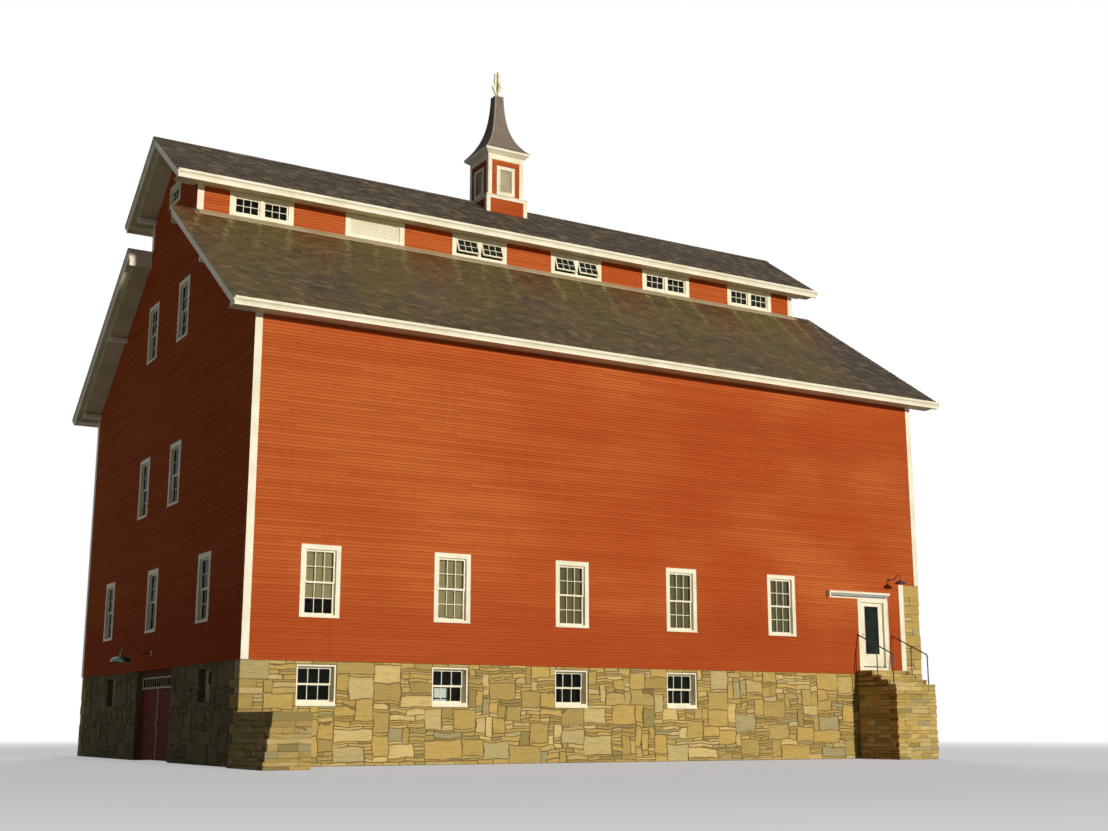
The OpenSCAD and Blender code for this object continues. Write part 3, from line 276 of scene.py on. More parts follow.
def makeStone():
    look = stoneLook
    material, tree, shader = newMaterial("split schist", 0.9, 0.15)
    tone = addNode(tree, "Attribute", attribute_name="tone", output="Fac")
    paintedShade = addNode(tree, "Attribute", attribute_name="paintedShade", output="Fac")
    stops = [(k / 5, code) for k, code in enumerate(look["stone"])]
    colour = addNode(tree, "ValToRGB", [tone], stops=stops)
    leaf = cloud(tree, (260, 260, 26), 5, 0.6)
    spot = cloud(tree, (110, 110, 110), 6, 0.7)
    # The dark green-grey, by the mark of the sunless side, is painted shade
    colour = glazed(tree, colour, (look["seam"], leaf, 0.45, 0.78, 0.5),
                    (look["lichen"], spot, 0.56, 0.75, 0.5), (look["shadeGreenGrey"], paintedShade, 0.0, 1.0, 0.8))
    both = addNode(tree, "Math", [leaf, spot])
    dress(tree, shader, colour, both, 9.0, 0.6)
    return material


# Drawn window glass: clear with a faint green cast and slightly wavy, so that a room or a blind
# behind it shows through, and its surface mirrors a little of the surroundings
def makeGlass():
    material, tree, shader = newMaterial("drawn window glass", 0.03, IOR=1.52)
    colour = glaze(tree, toLinear("#20241F"), "#2C312B", cloud(tree, (300, 300, 500), 2), 0.3, 0.7)
    dress(tree, shader, colour, cloud(tree, (330, 330, 500), 2), 8.0, 0.1)
    clear = addNode(tree, "BsdfTransparent", {"Color": toLinear("#FAFCF8")})
    mirror = addNode(tree, "Fresnel", {"IOR": 1.52})
    share = addNode(tree, "MapRange", [mirror, 0.0, 1.0, 0.05, 1.0])
    showInstead(tree, addNode(tree, "MixShader", [share, clear, shader.outputs[0]]))
    return material


# Metal or enamel that has stood outside: clouded, darker where it is worn
def makeMetal(name, code, worn, metallic, rough):
    mottle = ((110, 110, 110), 5, 0.65)
    layers = [(worn, mottle, (0.4, 0.7, 0.6))]
    return layered(name, code, layers, (mottle, 1.0, 0.2), rough, Metallic=metallic)


# Woven cotton, unglazed: a matt cloth with soft folds, straw-coloured or, by its tone, dark
# olive; the weave is drawn at 4 mm to show
def makeBlind():
    material, tree, shader = newMaterial("cotton roller blind", 0.9)
    tone = addNode(tree, "Attribute", attribute_name="tone", output="Fac")
    colour = glazed(tree, toLinear("#7C6C42"), ("#B5A172", tone, 0.0, 1.0),
                    ("#57492C", cloud(tree, (140, 140, 900), 2), 0.35, 0.75, 0.3))
    dress(tree, shader, colour, cloud(tree, (4, 4, 4), 2), 0.5, 0.2)
    return material


# Lime mortar and earth, raked back between the stones: matt, sandy and darker than the stones
grit = ((33, 33, 33), 6, 0.7)
sandy = [("#967E4C", grit, (0.35, 0.7))]
mortar = layered("raked lime mortar", "#6C5834", sandy, (grit, 9.0, 0.6), 0.95, 0.1)

# Fir framing and floor boards, sawn rough and left bare: matt brown, with the grain along y
grain = ((25, 330, 25), 4)
timber = layered("sawn fir", "#8C6B48", [("#6B4E33", grain, (0.35, 0.7))], (grain, 2.0, 0.4), 0.8)

siding = makeSiding()
trim = makePaint("painted pine trim", "#F2E9C9", "#E6DAB4", "#A99C77")
# The trim paint darkened and turned olive: painted shade for the soffits, roof undersides and the basement
# door's cover strip and light bars, which stand in shade
shadedTrim = makePaint("soffit boards in painted shade", "#CFC7A2", "#BDB48C", "#8C8260", 0.7)
slate = makeSlate()
stone = makeStone()
glass = makeGlass()
blind = makeBlind()
doorPaint = makePaint("painted door boards", "#5E1E15", "#4F1A14", "#28100C", 0.7, 0.04)
panelPaint = makePaint("stained plank panel", "#6E4B30", "#5A3D28", "#3A281A", 0.8, 0.04)
paleMetal = makePaint("weathered painted flashing", "#B7A37C", "#A6926C", "#7E7050", 0.6)
spirePaint = makePaint("weathered spire shingles", "#8A7A68", "#7B6D5E", "#574C42", 0.8, 0.1)
capPaint = makePaint("weathered hip caps", "#A09077", "#918268", "#6A5E4B", 0.7, 0.1)
ironPaint = makeMetal("painted wrought iron", "#1B1A19", "#3A2A22", 0.0, 0.45)
zinc = makeMetal("galvanized steel", "#8E8C84", "#6F6D66", 0.85, 0.5)
enamelGreen = makeMetal("green vitreous enamel", "#15432F", "#0F3024", 0.0, 0.3)
enamelRed = makeMetal("oxblood vitreous enamel", "#4A1A16", "#321210", 0.0, 0.3)
brass = makeMetal("brushed brass", "#B08D4C", "#7E6435", 1.0, 0.35)
frosted = makeMetal("frosted glass bulb", "#DEDBD0", "#C8C4B6", 0.0, 0.3)
print("materials made")


def addObject(name, data):
    item = bpy.data.objects.new(name, data)
    bpy.context.scene.collection.objects.link(item)
    return item


# Meshes. A part is its corners and lists of faces with equally many corners, as whole arrays;
# a piece is one part or a list of them
def makePiece(name, part, material=trim, body="building", marks=None):
    verts, faceSets = joined(part) if isinstance(part, list) else part
    mesh = bpy.data.meshes.new(name)
    corners = np.concatenate([f.ravel() for f in faceSets]).astype(np.int32)
    sizes = np.concatenate([np.full(len(f), f.shape[1], np.int32) for f in faceSets])
    mesh.vertices.add(len(verts))
    mesh.vertices.foreach_set("co", np.asarray(verts, np.float32).ravel())
    mesh.loops.add(len(corners))
    mesh.loops.foreach_set("vertex_index", corners)
    mesh.polygons.add(len(sizes))
    mesh.polygons.foreach_set("loop_start", (np.cumsum(sizes) - sizes).astype(np.int32))
    mesh.polygons.foreach_set("use_smooth", np.zeros(len(sizes), bool))
    mesh.update(calc_edges=True)
    for key, values in (marks or {}).items():
        mark = mesh.attributes.new(key, "FLOAT", "POINT")
        mark.data.foreach_set("value", np.asarray(values, np.float32))
    mesh.materials.append(material)
    piece = addObject(name, mesh)
    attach(piece, body)


# One mesh out of several, their corners counted on
def joined(parts):
    sets = {}
    count = 0
    for verts, faceSets in parts:
        for f in faceSets:
            sets.setdefault(f.shape[1], []).append(f + count)
        count += len(verts)
    return np.concatenate([verts for verts, _ in parts]), [np.concatenate(s) for s in sets.values()]


# The quads of a grid of rows by columns of points, row after row
def gridFaces(rows, columns):
    i, j = np.meshgrid(np.arange(rows - 1), np.arange(columns - 1), indexing="ij")
    a = (i * columns + j).ravel()
    return np.stack([a, a + 1, a + columns + 1, a + columns], 1)


# The quads between closed rings of equally many points
def ringFaces(rings, sides):
    i, j = np.meshgrid(np.arange(rings - 1) * sides, np.arange(sides), indexing="ij")
    k = (j + 1) % sides
    return np.stack([i + j, i + k, i + k + sides, i + j + sides], 2).reshape(-1, 4)


# The faces of one shape for several copies, each copy's corners counted on from the last
def repeated(facesOfOne, vertsOfOne, copies):
    f = np.asarray(facesOfOne)
    return (f[None] + (np.arange(copies) * vertsOfOne)[:, None, None]).reshape(-1, f.shape[1])


# Turns a closed mesh's faces outwards: its volume, summed over the faces' fans, must be positive
def facedOut(verts, faceSets):
    volume = 0.0
    for f in faceSets:
        for k in range(1, f.shape[1] - 1):
            volume += (verts[f[:, 0]] * np.cross(verts[f[:, k]], verts[f[:, k + 1]])).sum()
    return verts, faceSets if volume > 0 else [f[:, ::-1] for f in faceSets]


# A chamfered box: each corner of a cube becomes three points, one on each of its faces, held
# back from the edges by the chamfer; the faces are its 6 sides, 12 edges and 8 corners
def chamferShape():
    signs = np.array([[x, y, z] for x in (-1, 1) for y in (-1, 1) for z in (-1, 1)], float)
    sign = np.repeat(signs, 3, 0)
    axis = np.tile(np.arange(3), 8)
    held = 1.0 - np.eye(3)[axis]
    centre = sign * (1 - 0.3 * held)
    groups = [np.nonzero((axis == a) & (sign[:, a] == s))[0] for a in range(3) for s in (-1, 1)]
    for a, b in ((0, 1), (0, 2), (1, 2)):
        for s in ((-1, -1), (-1, 1), (1, -1), (1, 1)):
            both = (sign[:, a] == s[0]) & (sign[:, b] == s[1])
            groups.append(np.nonzero(both & ((axis == a) | (axis == b)))[0])
    groups += [np.arange(3) + 3 * k for k in range(8)]
    turned = []
    for own in groups:
        middle = centre[own].mean(0)
        side = np.cross(middle, [0.31, 0.57, 0.76])
        angle = np.arctan2((centre[own] - middle) @ np.cross(middle, side) / np.linalg.norm(middle),
                           (centre[own] - middle) @ side)
        turned.append(own[np.argsort(angle)])
    return sign, held, [np.array(turned[:18]), np.array(turned[18:])]


boxSign, boxHeld, boxFaces = chamferShape()


# Chamfered boxes, each from a row of lowest and highest x, y and z
def boxes(rows, chamfer=0.004):
    rows = np.atleast_2d(np.asarray(rows, float))
    low, high = rows[:, 0::2], rows[:, 1::2]
    half = (high - low) / 2
    cut = np.minimum(chamfer, half.min(1) * 0.6)[:, None, None]
    verts = ((low + high) / 2)[:, None] + boxSign * (half[:, None] - cut * boxHeld)
    return verts.reshape(-1, 3), [repeated(f, 24, len(rows)) for f in boxFaces]


# A flat outline of (outwards, up) points carried from one point to another, closed at both ends
def carried(outline, start, end, out, up=(0, 0, 1)):
    outline = np.asarray(outline, float)
    n = len(outline)
    ring = outline[:, :1] * np.asarray(out, float) + outline[:, 1:] * np.asarray(up, float)
    verts = np.concatenate([ring + np.asarray(start, float), ring + np.asarray(end, float)])
    ends = np.stack([np.arange(n)[::-1], np.arange(n) + n])
    return facedOut(verts, [ringFaces(2, n), ends])


# A round body: radius and height pairs turned round an upright line through the centre, with
# the first and last radius nought so that the poles are closed
def turned(profile, centre, sides=20):
    profile = np.asarray(profile, float)
    angle = np.arange(sides) * 2 * math.pi / sides
    rings = np.stack([profile[1:-1, :1] * np.cos(angle), profile[1:-1, :1] * np.sin(angle),
                      np.repeat(profile[1:-1, 1:], sides, 1)], 2)
    verts = np.concatenate([rings.reshape(-1, 3), [[0, 0, profile[0, 1]], [0, 0, profile[-1, 1]]]])
    a = np.arange(sides)
    b = (a + 1) % sides
    first = np.stack([b, a, np.full(sides, len(verts) - 2)], 1)
    last = np.stack([a, b, np.full(sides, len(verts) - 1)], 1)
    last[:, :2] += (len(rings) - 1) * sides
    ends = np.concatenate([first, last])
    return facedOut(verts + np.asarray(centre, float), [ringFaces(len(rings), sides), ends])


# An outer face seen from outside: a point at (u, z, d) is u to the right, z up and d outwards
def face(x, y, right):
    right = np.array([right[0], right[1], 0.0])
    return {"origin": np.array([x, y, 0.0]), "right": right, "out": np.cross(right, [0, 0, 1])}


# Points on a face: its origin, u times its right, z up and d times its outward direction
def onFace(place, u, z, d):
    u, z, d = np.broadcast_arrays(np.asarray(u, float), z, d)
    return (place["origin"] + u[..., None] * place["right"] + z[..., None] * np.array([0, 0, 1.0])
            + d[..., None] * place["out"])


# A part drawn with x to the right, y into the wall and z up, set on a face
def onWall(place, part, u=0.0, z=0.0):
    verts, faceSets = part
    return onFace(place, verts[:, 0] + u, verts[:, 2] + z, -verts[:, 1]), faceSets


# The outer faces of an upright block with the given half-lengths
def fourFaces(halfX, halfY):
    return {"front": face(0, -halfY, (1, 0)), "east": face(halfX, 0, (0, 1)),
            "back": face(0, halfY, (-1, 0)), "west": face(-halfX, 0, (0, -1))}


faces = fourFaces(halfL, halfW)
monitorFaces = fourFaces(halfL, halfM)
print("tools ready")

# Finishes of the solids
finishes = {
    mortar: "foundation_front foundation_back foundation_west_front foundation_west_back foundation_east"
            " wing_wall stoop basement_floor",
    timber: "main_floor second_floor loft_floor",
    siding: "front_wall_left front_wall_over_door front_wall_right back_wall west_gable_wall"
            " east_gable_wall west_monitor_gable east_monitor_gable monitor_front_wall"
            " monitor_back_wall cupola_base cupola_body",
    trim: "eave_fascias rake_boards lookouts corner_boards windows_front windows_back windows_gables"
          " windows_basement windows_monitor monitor_sashes monitor_louvres entry_door_frame"
          " entry_door door_hood cupola_louvres cupola_cornice finial",
    # shadedTrim is the trim paint with painted shade
    shadedTrim: "main_roof_front main_roof_back monitor_roof_front monitor_roof_back eave_soffits",
    spirePaint: "cupola_roof",
    paleMetal: "monitor_flashings",
    glass: "window_glass entry_door_glass",
    brass: "entry_door_handle",
    zinc: "door_track",
    doorPaint: "basement_door_frame basement_door_front_leaf basement_door_back_leaf",
    ironPaint: "handrails",
    enamelGreen: "gable_lamp",
    enamelRed: "front_lamp",
}
for material, names in finishes.items():
    for name in names.split():
        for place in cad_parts[name].material_slots:
            place.material = material
print("solids finished")

# Sizes of windows and doors, as the solids have them
sash = {"w": 1.087, "h": 1.85, "z": 3.686, "casing": 0.125, "sill": 0.07, "stile": 0.05, "thick": 0.035,
        "upper": 0.045, "gableFar": 4.975, "gableNear": 1.63, "gableZ": [7.27, 12.27], "bar": 0.022}
monitorWindow = {"w": 2.04, "h": 0.75, "z": monitorFoot + 0.02, "side": 0.165, "head": 0.13, "sill": 0.09,
                 "mullion": 0.12, "set": 0.02, "tilt": math.radians(22), "louvreBay": 1, "openBays": [2, 3]}
peak = {"w": 1.17, "h": 0.7, "z": 16.99}
cellar = {"w": 1.07, "h": 1.03, "z": 1.48, "front": 5.4, "back": -4.25, "set": 0.25, "frame": 0.045,
          "sill": 0.11}
entry = {"x": bays[5] - 0.04, "casing": 1.27, "sill": 2.69, "floor": 2.84, "head": 4.952, "leaf": 0.93,
         "leafTop": 2.006, "set": 0.06, "thick": 0.045, "stile": 0.165, "rail": 0.37, "hoodL": 2.53,
         "hoodH": 0.2, "hoodD": 0.16}
cellarDoor = {"y": -0.575, "w": 3.54, "post": 0.08, "face": -11.25, "foot": 0.03, "top": 2.04,
              "head": 2.046, "headH": 0.06, "light": 0.24, "bar": 0.04, "pitch": 0.215, "stile": 0.035,
              "gap": 0.006, "meet": 0.008, "astragal": 0.07, "strip": 0.025, "latch": 1.06}

# Clapboards: a sawtooth up the wall. Each course stands out by the lip at its foot and by the
# tuck at its head, with a slow wave along it; courses are cut at openings and end on the wall's
# left and right edges, each a number or, where it slants, a function of the height
clapboard = {"lip": 0.015, "tuck": 0.003, "wave": 0.0014, "step": 0.8, "lap": 0.01}


# The opening of the given width and height about u and over z, made smaller by a lap all round
def around(u, w, z, h, lap=clapboard["lap"]):
    return (u - w / 2 + lap, u + w / 2 - lap, z + lap, z + h - lap)


# What is left of a span between two slanting ends when the openings at its height are cut out
def cutSpan(span, holes, middle):
    spans = [span]
    for u0, u1, z0, z1 in holes:
        if not z0 < middle < z1:
            continue
        left = []
        for a, b in spans:
            if u1 <= min(a) or u0 >= max(b):
                left.append((a, b))
                continue
            if u0 > min(a):
                left.append((a, (u0, u0)))
            if u1 < max(b):
                left.append(((u1, u1), b))
        spans = left
    return [(a, b) for a, b in spans if max(b[0] - a[0], b[1] - a[1]) > 0.002]


def clapboards(place, left, right, z0, z1, holes, seed):
    left, right = [v if callable(v) else (lambda z, u=v: u) for v in (left, right)]
    exposure = sidingLook["exposure"]
    rng = np.random.RandomState(seed)
    first = math.floor((z0 - foot) / exposure)
    lines = [z0, z1] + [foot + k * exposure for k in range(first, math.ceil((z1 - foot) / exposure) + 1)]
    lines += [v for h in holes for v in h[2:]]
    lines = sorted(set(round(v, 5) for v in lines if z0 <= v <= z1))
    strips = []
    for low, high in zip(lines[:-1], lines[1:]):
        middle = (low + high) / 2
        base = foot + math.floor((middle - foot) / exposure) * exposure
        fall = (clapboard["lip"] - clapboard["tuck"]) / exposure
        depth = [clapboard["lip"] - (v - base) * fall for v in (low, high)]
        for a, b in cutSpan(((left(low), left(high)), (right(low), right(high))), holes, middle):
            n = max(2, int((b[0] - a[0]) / clapboard["step"]) + 2)
            t = np.linspace(0, 1, n)
            u = a[0] + (b[0] - a[0]) * t
            rows = [onFace(place, u, low, depth[0] + rng.normal(0, clapboard["wave"], n)),
                    onFace(place, a[1] + (b[1] - a[1]) * t, high, depth[1])]
            if abs(low - base) < 0.001:
                rows.insert(0, onFace(place, u, low, 0.0))
            strips.append((np.concatenate(rows), [gridFaces(len(rows), n)]))
    return joined(strips)


sashHoles = {"front": [around(u, sash["w"], sash["z"], sash["h"]) for u in bays[:5]],
             "back": [around(u, sash["w"], sash["z"], sash["h"]) for u in bays]}
hoodRight = entry["x"] + entry["casing"] / 2
sashHoles["front"] += [
    around(entry["x"], entry["casing"], entry["sill"], entry["head"] - entry["sill"]),
    around(hoodRight - entry["hoodL"] / 2, entry["hoodL"], entry["head"], entry["hoodH"])]
boardEnd = halfL - barn["cornerBoard"] + 0.01
lowEnd = boardEnd - barn["stoneThick"]
soffit = barn["soffit"]
longWalls = {"front": [(-boardEnd, lowEnd, foot, stoneTop, 11), (-boardEnd, boardEnd, stoneTop, soffit, 12)],
             "back": [(-lowEnd, boardEnd, foot, stoneTop, 13), (-boardEnd, boardEnd, stoneTop, soffit, 14)]}
for name, sheets in longWalls.items():
    parts = [clapboards(faces[name], *sheet, sashHoles[name], seed) for *sheet, seed in sheets]
    makePiece("clapboards_" + name, parts, siding)


# A gable's half-width at a height: the long walls' up to the roof, then the lower slope's
# underside, the monitor's walls and the upper slope's underside
def gableHalf(z):
    above = z + barn["roofDepth"] - barn["eaveRise"]
    lower = eaveEdge - (above - barn["soffit"]) / slope
    upper = monitorEdge - (above - barn["monitorSoffit"]) / slope
    return min(halfW, max(lower, min(halfM, upper)))


# A gable's clapboards, one sheet between each two levels where its outline bends; on one edge
# they stop at the corner board
def gableSheet(name, z0, holes, boardOnLeft, seed):
    levels = [z0, soffit, monitorFoot - barn["roofDepth"], monitorFoot, barn["monitorSoffit"],
              ridge - barn["roofDepth"]]
    sheets = []
    for k, (low, high) in enumerate(zip(levels[:-1], levels[1:])):
        board = barn["cornerBoard"] - 0.01 if k in (0, 3) else 0.0
        near = lambda z, b=board: gableHalf(z) - b
        left = (lambda z, f=near: -f(z)) if boardOnLeft else (lambda z: -gableHalf(z))
        right = gableHalf if boardOnLeft else near
        sheets.append(clapboards(faces[name], left, right, low, high, holes, seed + k))
    makePiece("clapboards_" + name + "_gable", sheets, siding)


pairHoles = [around(s * sash["gableNear"], sash["w"], z, sash["h"]) for z in sash["gableZ"] for s in (-1, 1)]
pairHoles.append(around(0, peak["w"], peak["z"], peak["h"]))
westHoles = [around(u, sash["w"], sash["z"], sash["h"]) for u in (-sash["gableFar"], 0, sash["gableFar"])]
gableSheet("west", foot, westHoles + pairHoles, True, 31)
gableSheet("east", stoneTop, pairHoles, False, 41)
monitorHoles = [around(u, monitorWindow["w"], monitorWindow["z"], monitorWindow["h"]) for u in bays]
parts = [clapboards(monitorFaces[name], -boardEnd, boardEnd, monitorFoot + 0.02, barn["monitorSoffit"],
                    monitorHoles, seed) for name, seed in (("front", 51), ("back", 52))]
makePiece("clapboards_monitor", parts, siding)
print("clapboards hung")

# Slates: each one is a thin wedge that rests on the course below, with its butt lifted by two
# thicknesses; widths and joints differ from course to course
slating = {"exposure": 0.205, "width": 0.27, "thick": 0.009, "gap": 0.005, "over": 0.035, "rakeOver": 0.055,
           "butt": (-0.006, 0.014), "lap": 0.03, "lift": 0.005, "lean": 0.0015}


def slates(origin, across, up, span, length, seed):
    rng = np.random.RandomState(seed)
    across = np.asarray(across, float)
    up = np.asarray(up, float)
    out = np.cross(across, up)
    rows = int(math.ceil(length / slating["exposure"]))
    exposure = length / rows
    cells = []
    for row in range(rows):
        edges = np.cumsum(rng.uniform(0.7, 1.3, int(span / slating["width"] * 1.4)) * slating["width"])
        edges = np.concatenate([[0.0], edges[edges < span - 0.1], [span]])
        cells.append(np.stack([edges[:-1], edges[1:], np.full(len(edges) - 1, row * exposure)], 1))
    cells = np.concatenate(cells)
    n = len(cells)
    butt = cells[:, 2] - rng.uniform(*slating["butt"], n)
    head = cells[:, 2] + exposure + slating["lap"]
    lift = rng.uniform(0.0, slating["lift"], n) + 2.1 * slating["thick"]
    lean = rng.normal(0, slating["lean"], n)
    low = cells[:, 0] + slating["gap"] / 2
    high = cells[:, 1] - slating["gap"] / 2
    sunk = np.full(n, 0.7 * slating["thick"])
    corners = [(low, butt, lift - lean), (high, butt, lift + lean), (high, head, sunk), (low, head, sunk)]
    corners = [(u, s, h - slating["thick"]) for u, s, h in corners] + corners
    verts = np.stack([u[:, None] * across + s[:, None] * up + h[:, None] * out for u, s, h in corners], 1)
    six = [[0, 3, 2, 1], [4, 5, 6, 7], [0, 1, 5, 4], [1, 2, 6, 5], [2, 3, 7, 6], [3, 0, 4, 7]]
    part = (verts.reshape(-1, 3) + np.asarray(origin, float), [repeated(six, 8, n)])
    return part, np.repeat(rng.uniform(0, 1, n), 8)


# One piece of several parts, each with the tone of its corners
def slatePiece(name, parts):
    tone = np.concatenate([t for _, t in parts])
    makePiece(name, [part for part, _ in parts], slate, marks={"tone": tone})


c, s = math.cos(barn["pitch"]), math.sin(barn["pitch"])
over = slating["over"]
span = 2 * (rakeEnd + slating["rakeOver"])
slateTop = halfM + barn["flashing"] - 0.02
roofs = {"main": (eaveEdge, mainTop, slateTop), "monitor": (monitorEdge, monitorTop, 0.0)}
for k, (name, (edge, top, upper)) in enumerate(roofs.items()):
    for side, sign in (("front", 1), ("back", -1)):
        origin = (-sign * span / 2, -sign * (edge + over), top(edge) - over * slope)
        length = (edge + over - upper) / c
        laid = slates(origin, (sign, 0, 0), (0, sign * c, s), span, length, 61 + k + 5 * sign)
        slatePiece("slates_" + name + "_" + side, [laid])

# The main slopes' overhangs carry on up to the monitor's wall, past the end of the apron
v = slateTop + 0.012
inside = halfL + 0.03
outside = rakeEnd + slating["rakeOver"]
parts = []
for k, (sign, end) in enumerate([(1, -1), (1, 1), (-1, -1), (-1, 1)]):
    left = -outside if sign * end < 0 else inside
    origin = (sign * left, -sign * v, mainTop(v))
    parts.append(slates(origin, (sign, 0, 0), (0, sign * c, s), outside - inside, (v - halfM) / c, 81 + k))
slatePiece("overhang_slates", parts)

# Ridge slates on both slopes, laid end to end, with every other pair a little higher
ridgeSizes = {"wide": 0.16, "thick": 0.012, "lift": 0.026, "length": 0.6, "step": 0.002, "gap": 0.004,
              "past": 0.04}
end = rakeEnd + ridgeSizes["past"]
edges = np.arange(-end, end + 0.01, ridgeSizes["length"])
edges[-1] = end
wide, lift, gap = ridgeSizes["wide"], ridgeSizes["lift"], ridgeSizes["gap"] / 2
parts = []
for sign in (1, -1):
    outline = [(0.0, lift), (wide, lift - wide * slope)]
    outline += [(u, z + ridgeSizes["thick"]) for u, z in outline[::-1]]
    for k, (a, b) in enumerate(zip(edges[:-1], edges[1:])):
        z = ridge + ridgeSizes["step"] * (k % 2)
        parts.append(carried(outline, (a + gap, 0, z), (b - gap, 0, z), (0, -sign, 0)))
tone = np.repeat(np.random.RandomState(7).uniform(0, 1, len(parts)), 8)
slatePiece("ridge_slates", [(joined(parts), tone)])


# An outline carried along both sides of the roof, from end to end at the given height
def bothSides(outline, end, y, z):
    return [carried(outline, (-end, -sign * y, z), (end, -sign * y, z), (0, -sign, 0)) for sign in (1, -1)]


# Flashing apron at the monitor's foot: a sheet over the top course, hemmed at its lower edge and
# turned up against the wall
apron = {"lift": 0.03, "thick": 0.003, "hem": 0.022, "upstand": 0.03}
inner, outer = barn["flashing"], barn["flashing"] + apron["thick"]
lift, thick = apron["lift"], apron["thick"]
low = lift - inner * slope
high = lift + apron["upstand"]
outline = [(0, lift), (inner, low), (inner, low - apron["hem"]), (outer, low - apron["hem"]),
           (outer, low + thick), (thick, lift + 0.004), (thick, high), (0, high)]
makePiece("flashing_aprons", bothSides(outline, halfL, halfM, monitorFoot), paleMetal)
print("roofs slated")

# Crown mouldings: a fillet, a hollow and a flat band along the fascias, raised to a lip in front
# of the slates, and the like without a lip up the rakes
crown = {"eave": [(0, -0.112), (0.010, -0.112), (0.014, -0.086), (0.036, -0.058), (0.060, -0.048),
                  (0.066, 0.026), (0.046, 0.026), (0.042, -0.024), (0, -0.02)],
         "rake": [(0, -0.095), (0.009, -0.095), (0.012, -0.075), (0.026, -0.05), (0.036, -0.042),
                  (0.036, 0), (0, 0)],
         "reach": 0.05}
parts = []
for edge, top in ((eaveEdge, mainTop), (monitorEdge, monitorTop)):
    parts += bothSides(crown["eave"], rakeEnd, edge, top(edge))
makePiece("eave_crowns", parts)
parts = []
for edge, top, upper in ((eaveEdge, mainTop, halfM), (monitorEdge, monitorTop, 0.0)):
    for sign in (1, -1):
        for end in (-1, 1):
            ends = [(end * rakeEnd, -sign * v, top(v)) for v in (edge + crown["reach"], upper)]
            parts.append(carried(crown["rake"], *ends, (end, 0, 0)))
makePiece("rake_crowns", parts)
print("mouldings run")

# Rubble layout: stones are set one by one in the lowest free place of the wall, kept level with
# a neighbour where they nearly meet, and stopped under openings. It counts in whole centimetres;
# each kind gives the range of widths and of heights, and its share
rubble = {"kinds": [((28, 95), (5, 10)), ((24, 72), (9, 17)), ((50, 120), (28, 56)), ((18, 30), (28, 50))],
          "shares": [0.5, 0.28, 0.18, 0.04], "joint": 0.002, "edge": 0.010, "low": 0.010, "high": 0.034,
          "sunk": 0.010, "rough": 0.0042, "lean": 0.006, "wave": 0.016, "calm": 0.15, "jitter": 0.009}


def layRubble(width, height, blocked, rng):
    columns = int(round(width * 100))
    top = int(round(height * 100))
    blocked = [[int(round(v * 100)) for v in b] for b in blocked]
    sky = np.zeros(columns, int)
    laid = []
    while True:
        for a, b, low, high in sorted(blocked * 2, key=lambda r: r[2]):
            part = sky[max(a, 0):b]
            part[(part >= low) & (part < high)] = high
        z = sky.min()
        if z >= top:
            return np.array(laid, float) / 100
        a = int(np.argmin(sky))
        rest = np.nonzero(sky[a:] != z)[0]
        b = a + int(rest[0]) if len(rest) else columns
        widths, heights = rubble["kinds"][rng.choice(4, p=rubble["shares"])]
        w = int(rng.uniform(*widths))
        h = int(rng.uniform(*heights))
        if b - a - w < 15:
            w = b - a if b - a <= 1.3 * w else (b - a) // 2
        x = a if rng.rand() < 0.5 else b - w
        ceiling = min([top] + [low for p, q, low, high in blocked if p < x + w and q > x and low > z])
        beside = [sky[k] for k in (x - 1, x + w) if 0 <= k < columns]
        if w < 15 and beside:
            h = min(max(min(beside) - z, 6), 34)
        for level in beside:
            if abs(z + h - level) < 4 and level > z + 4:
                h = level - z
        if ceiling - z - h < 5:
            h = ceiling - z if ceiling - z <= max(1.4 * h, 11) else (ceiling - z) // 2
        h = max(1, min(h, ceiling - z))
        sky[x:x + w] = z + h
        laid.append([x, x + w, z, z + h])


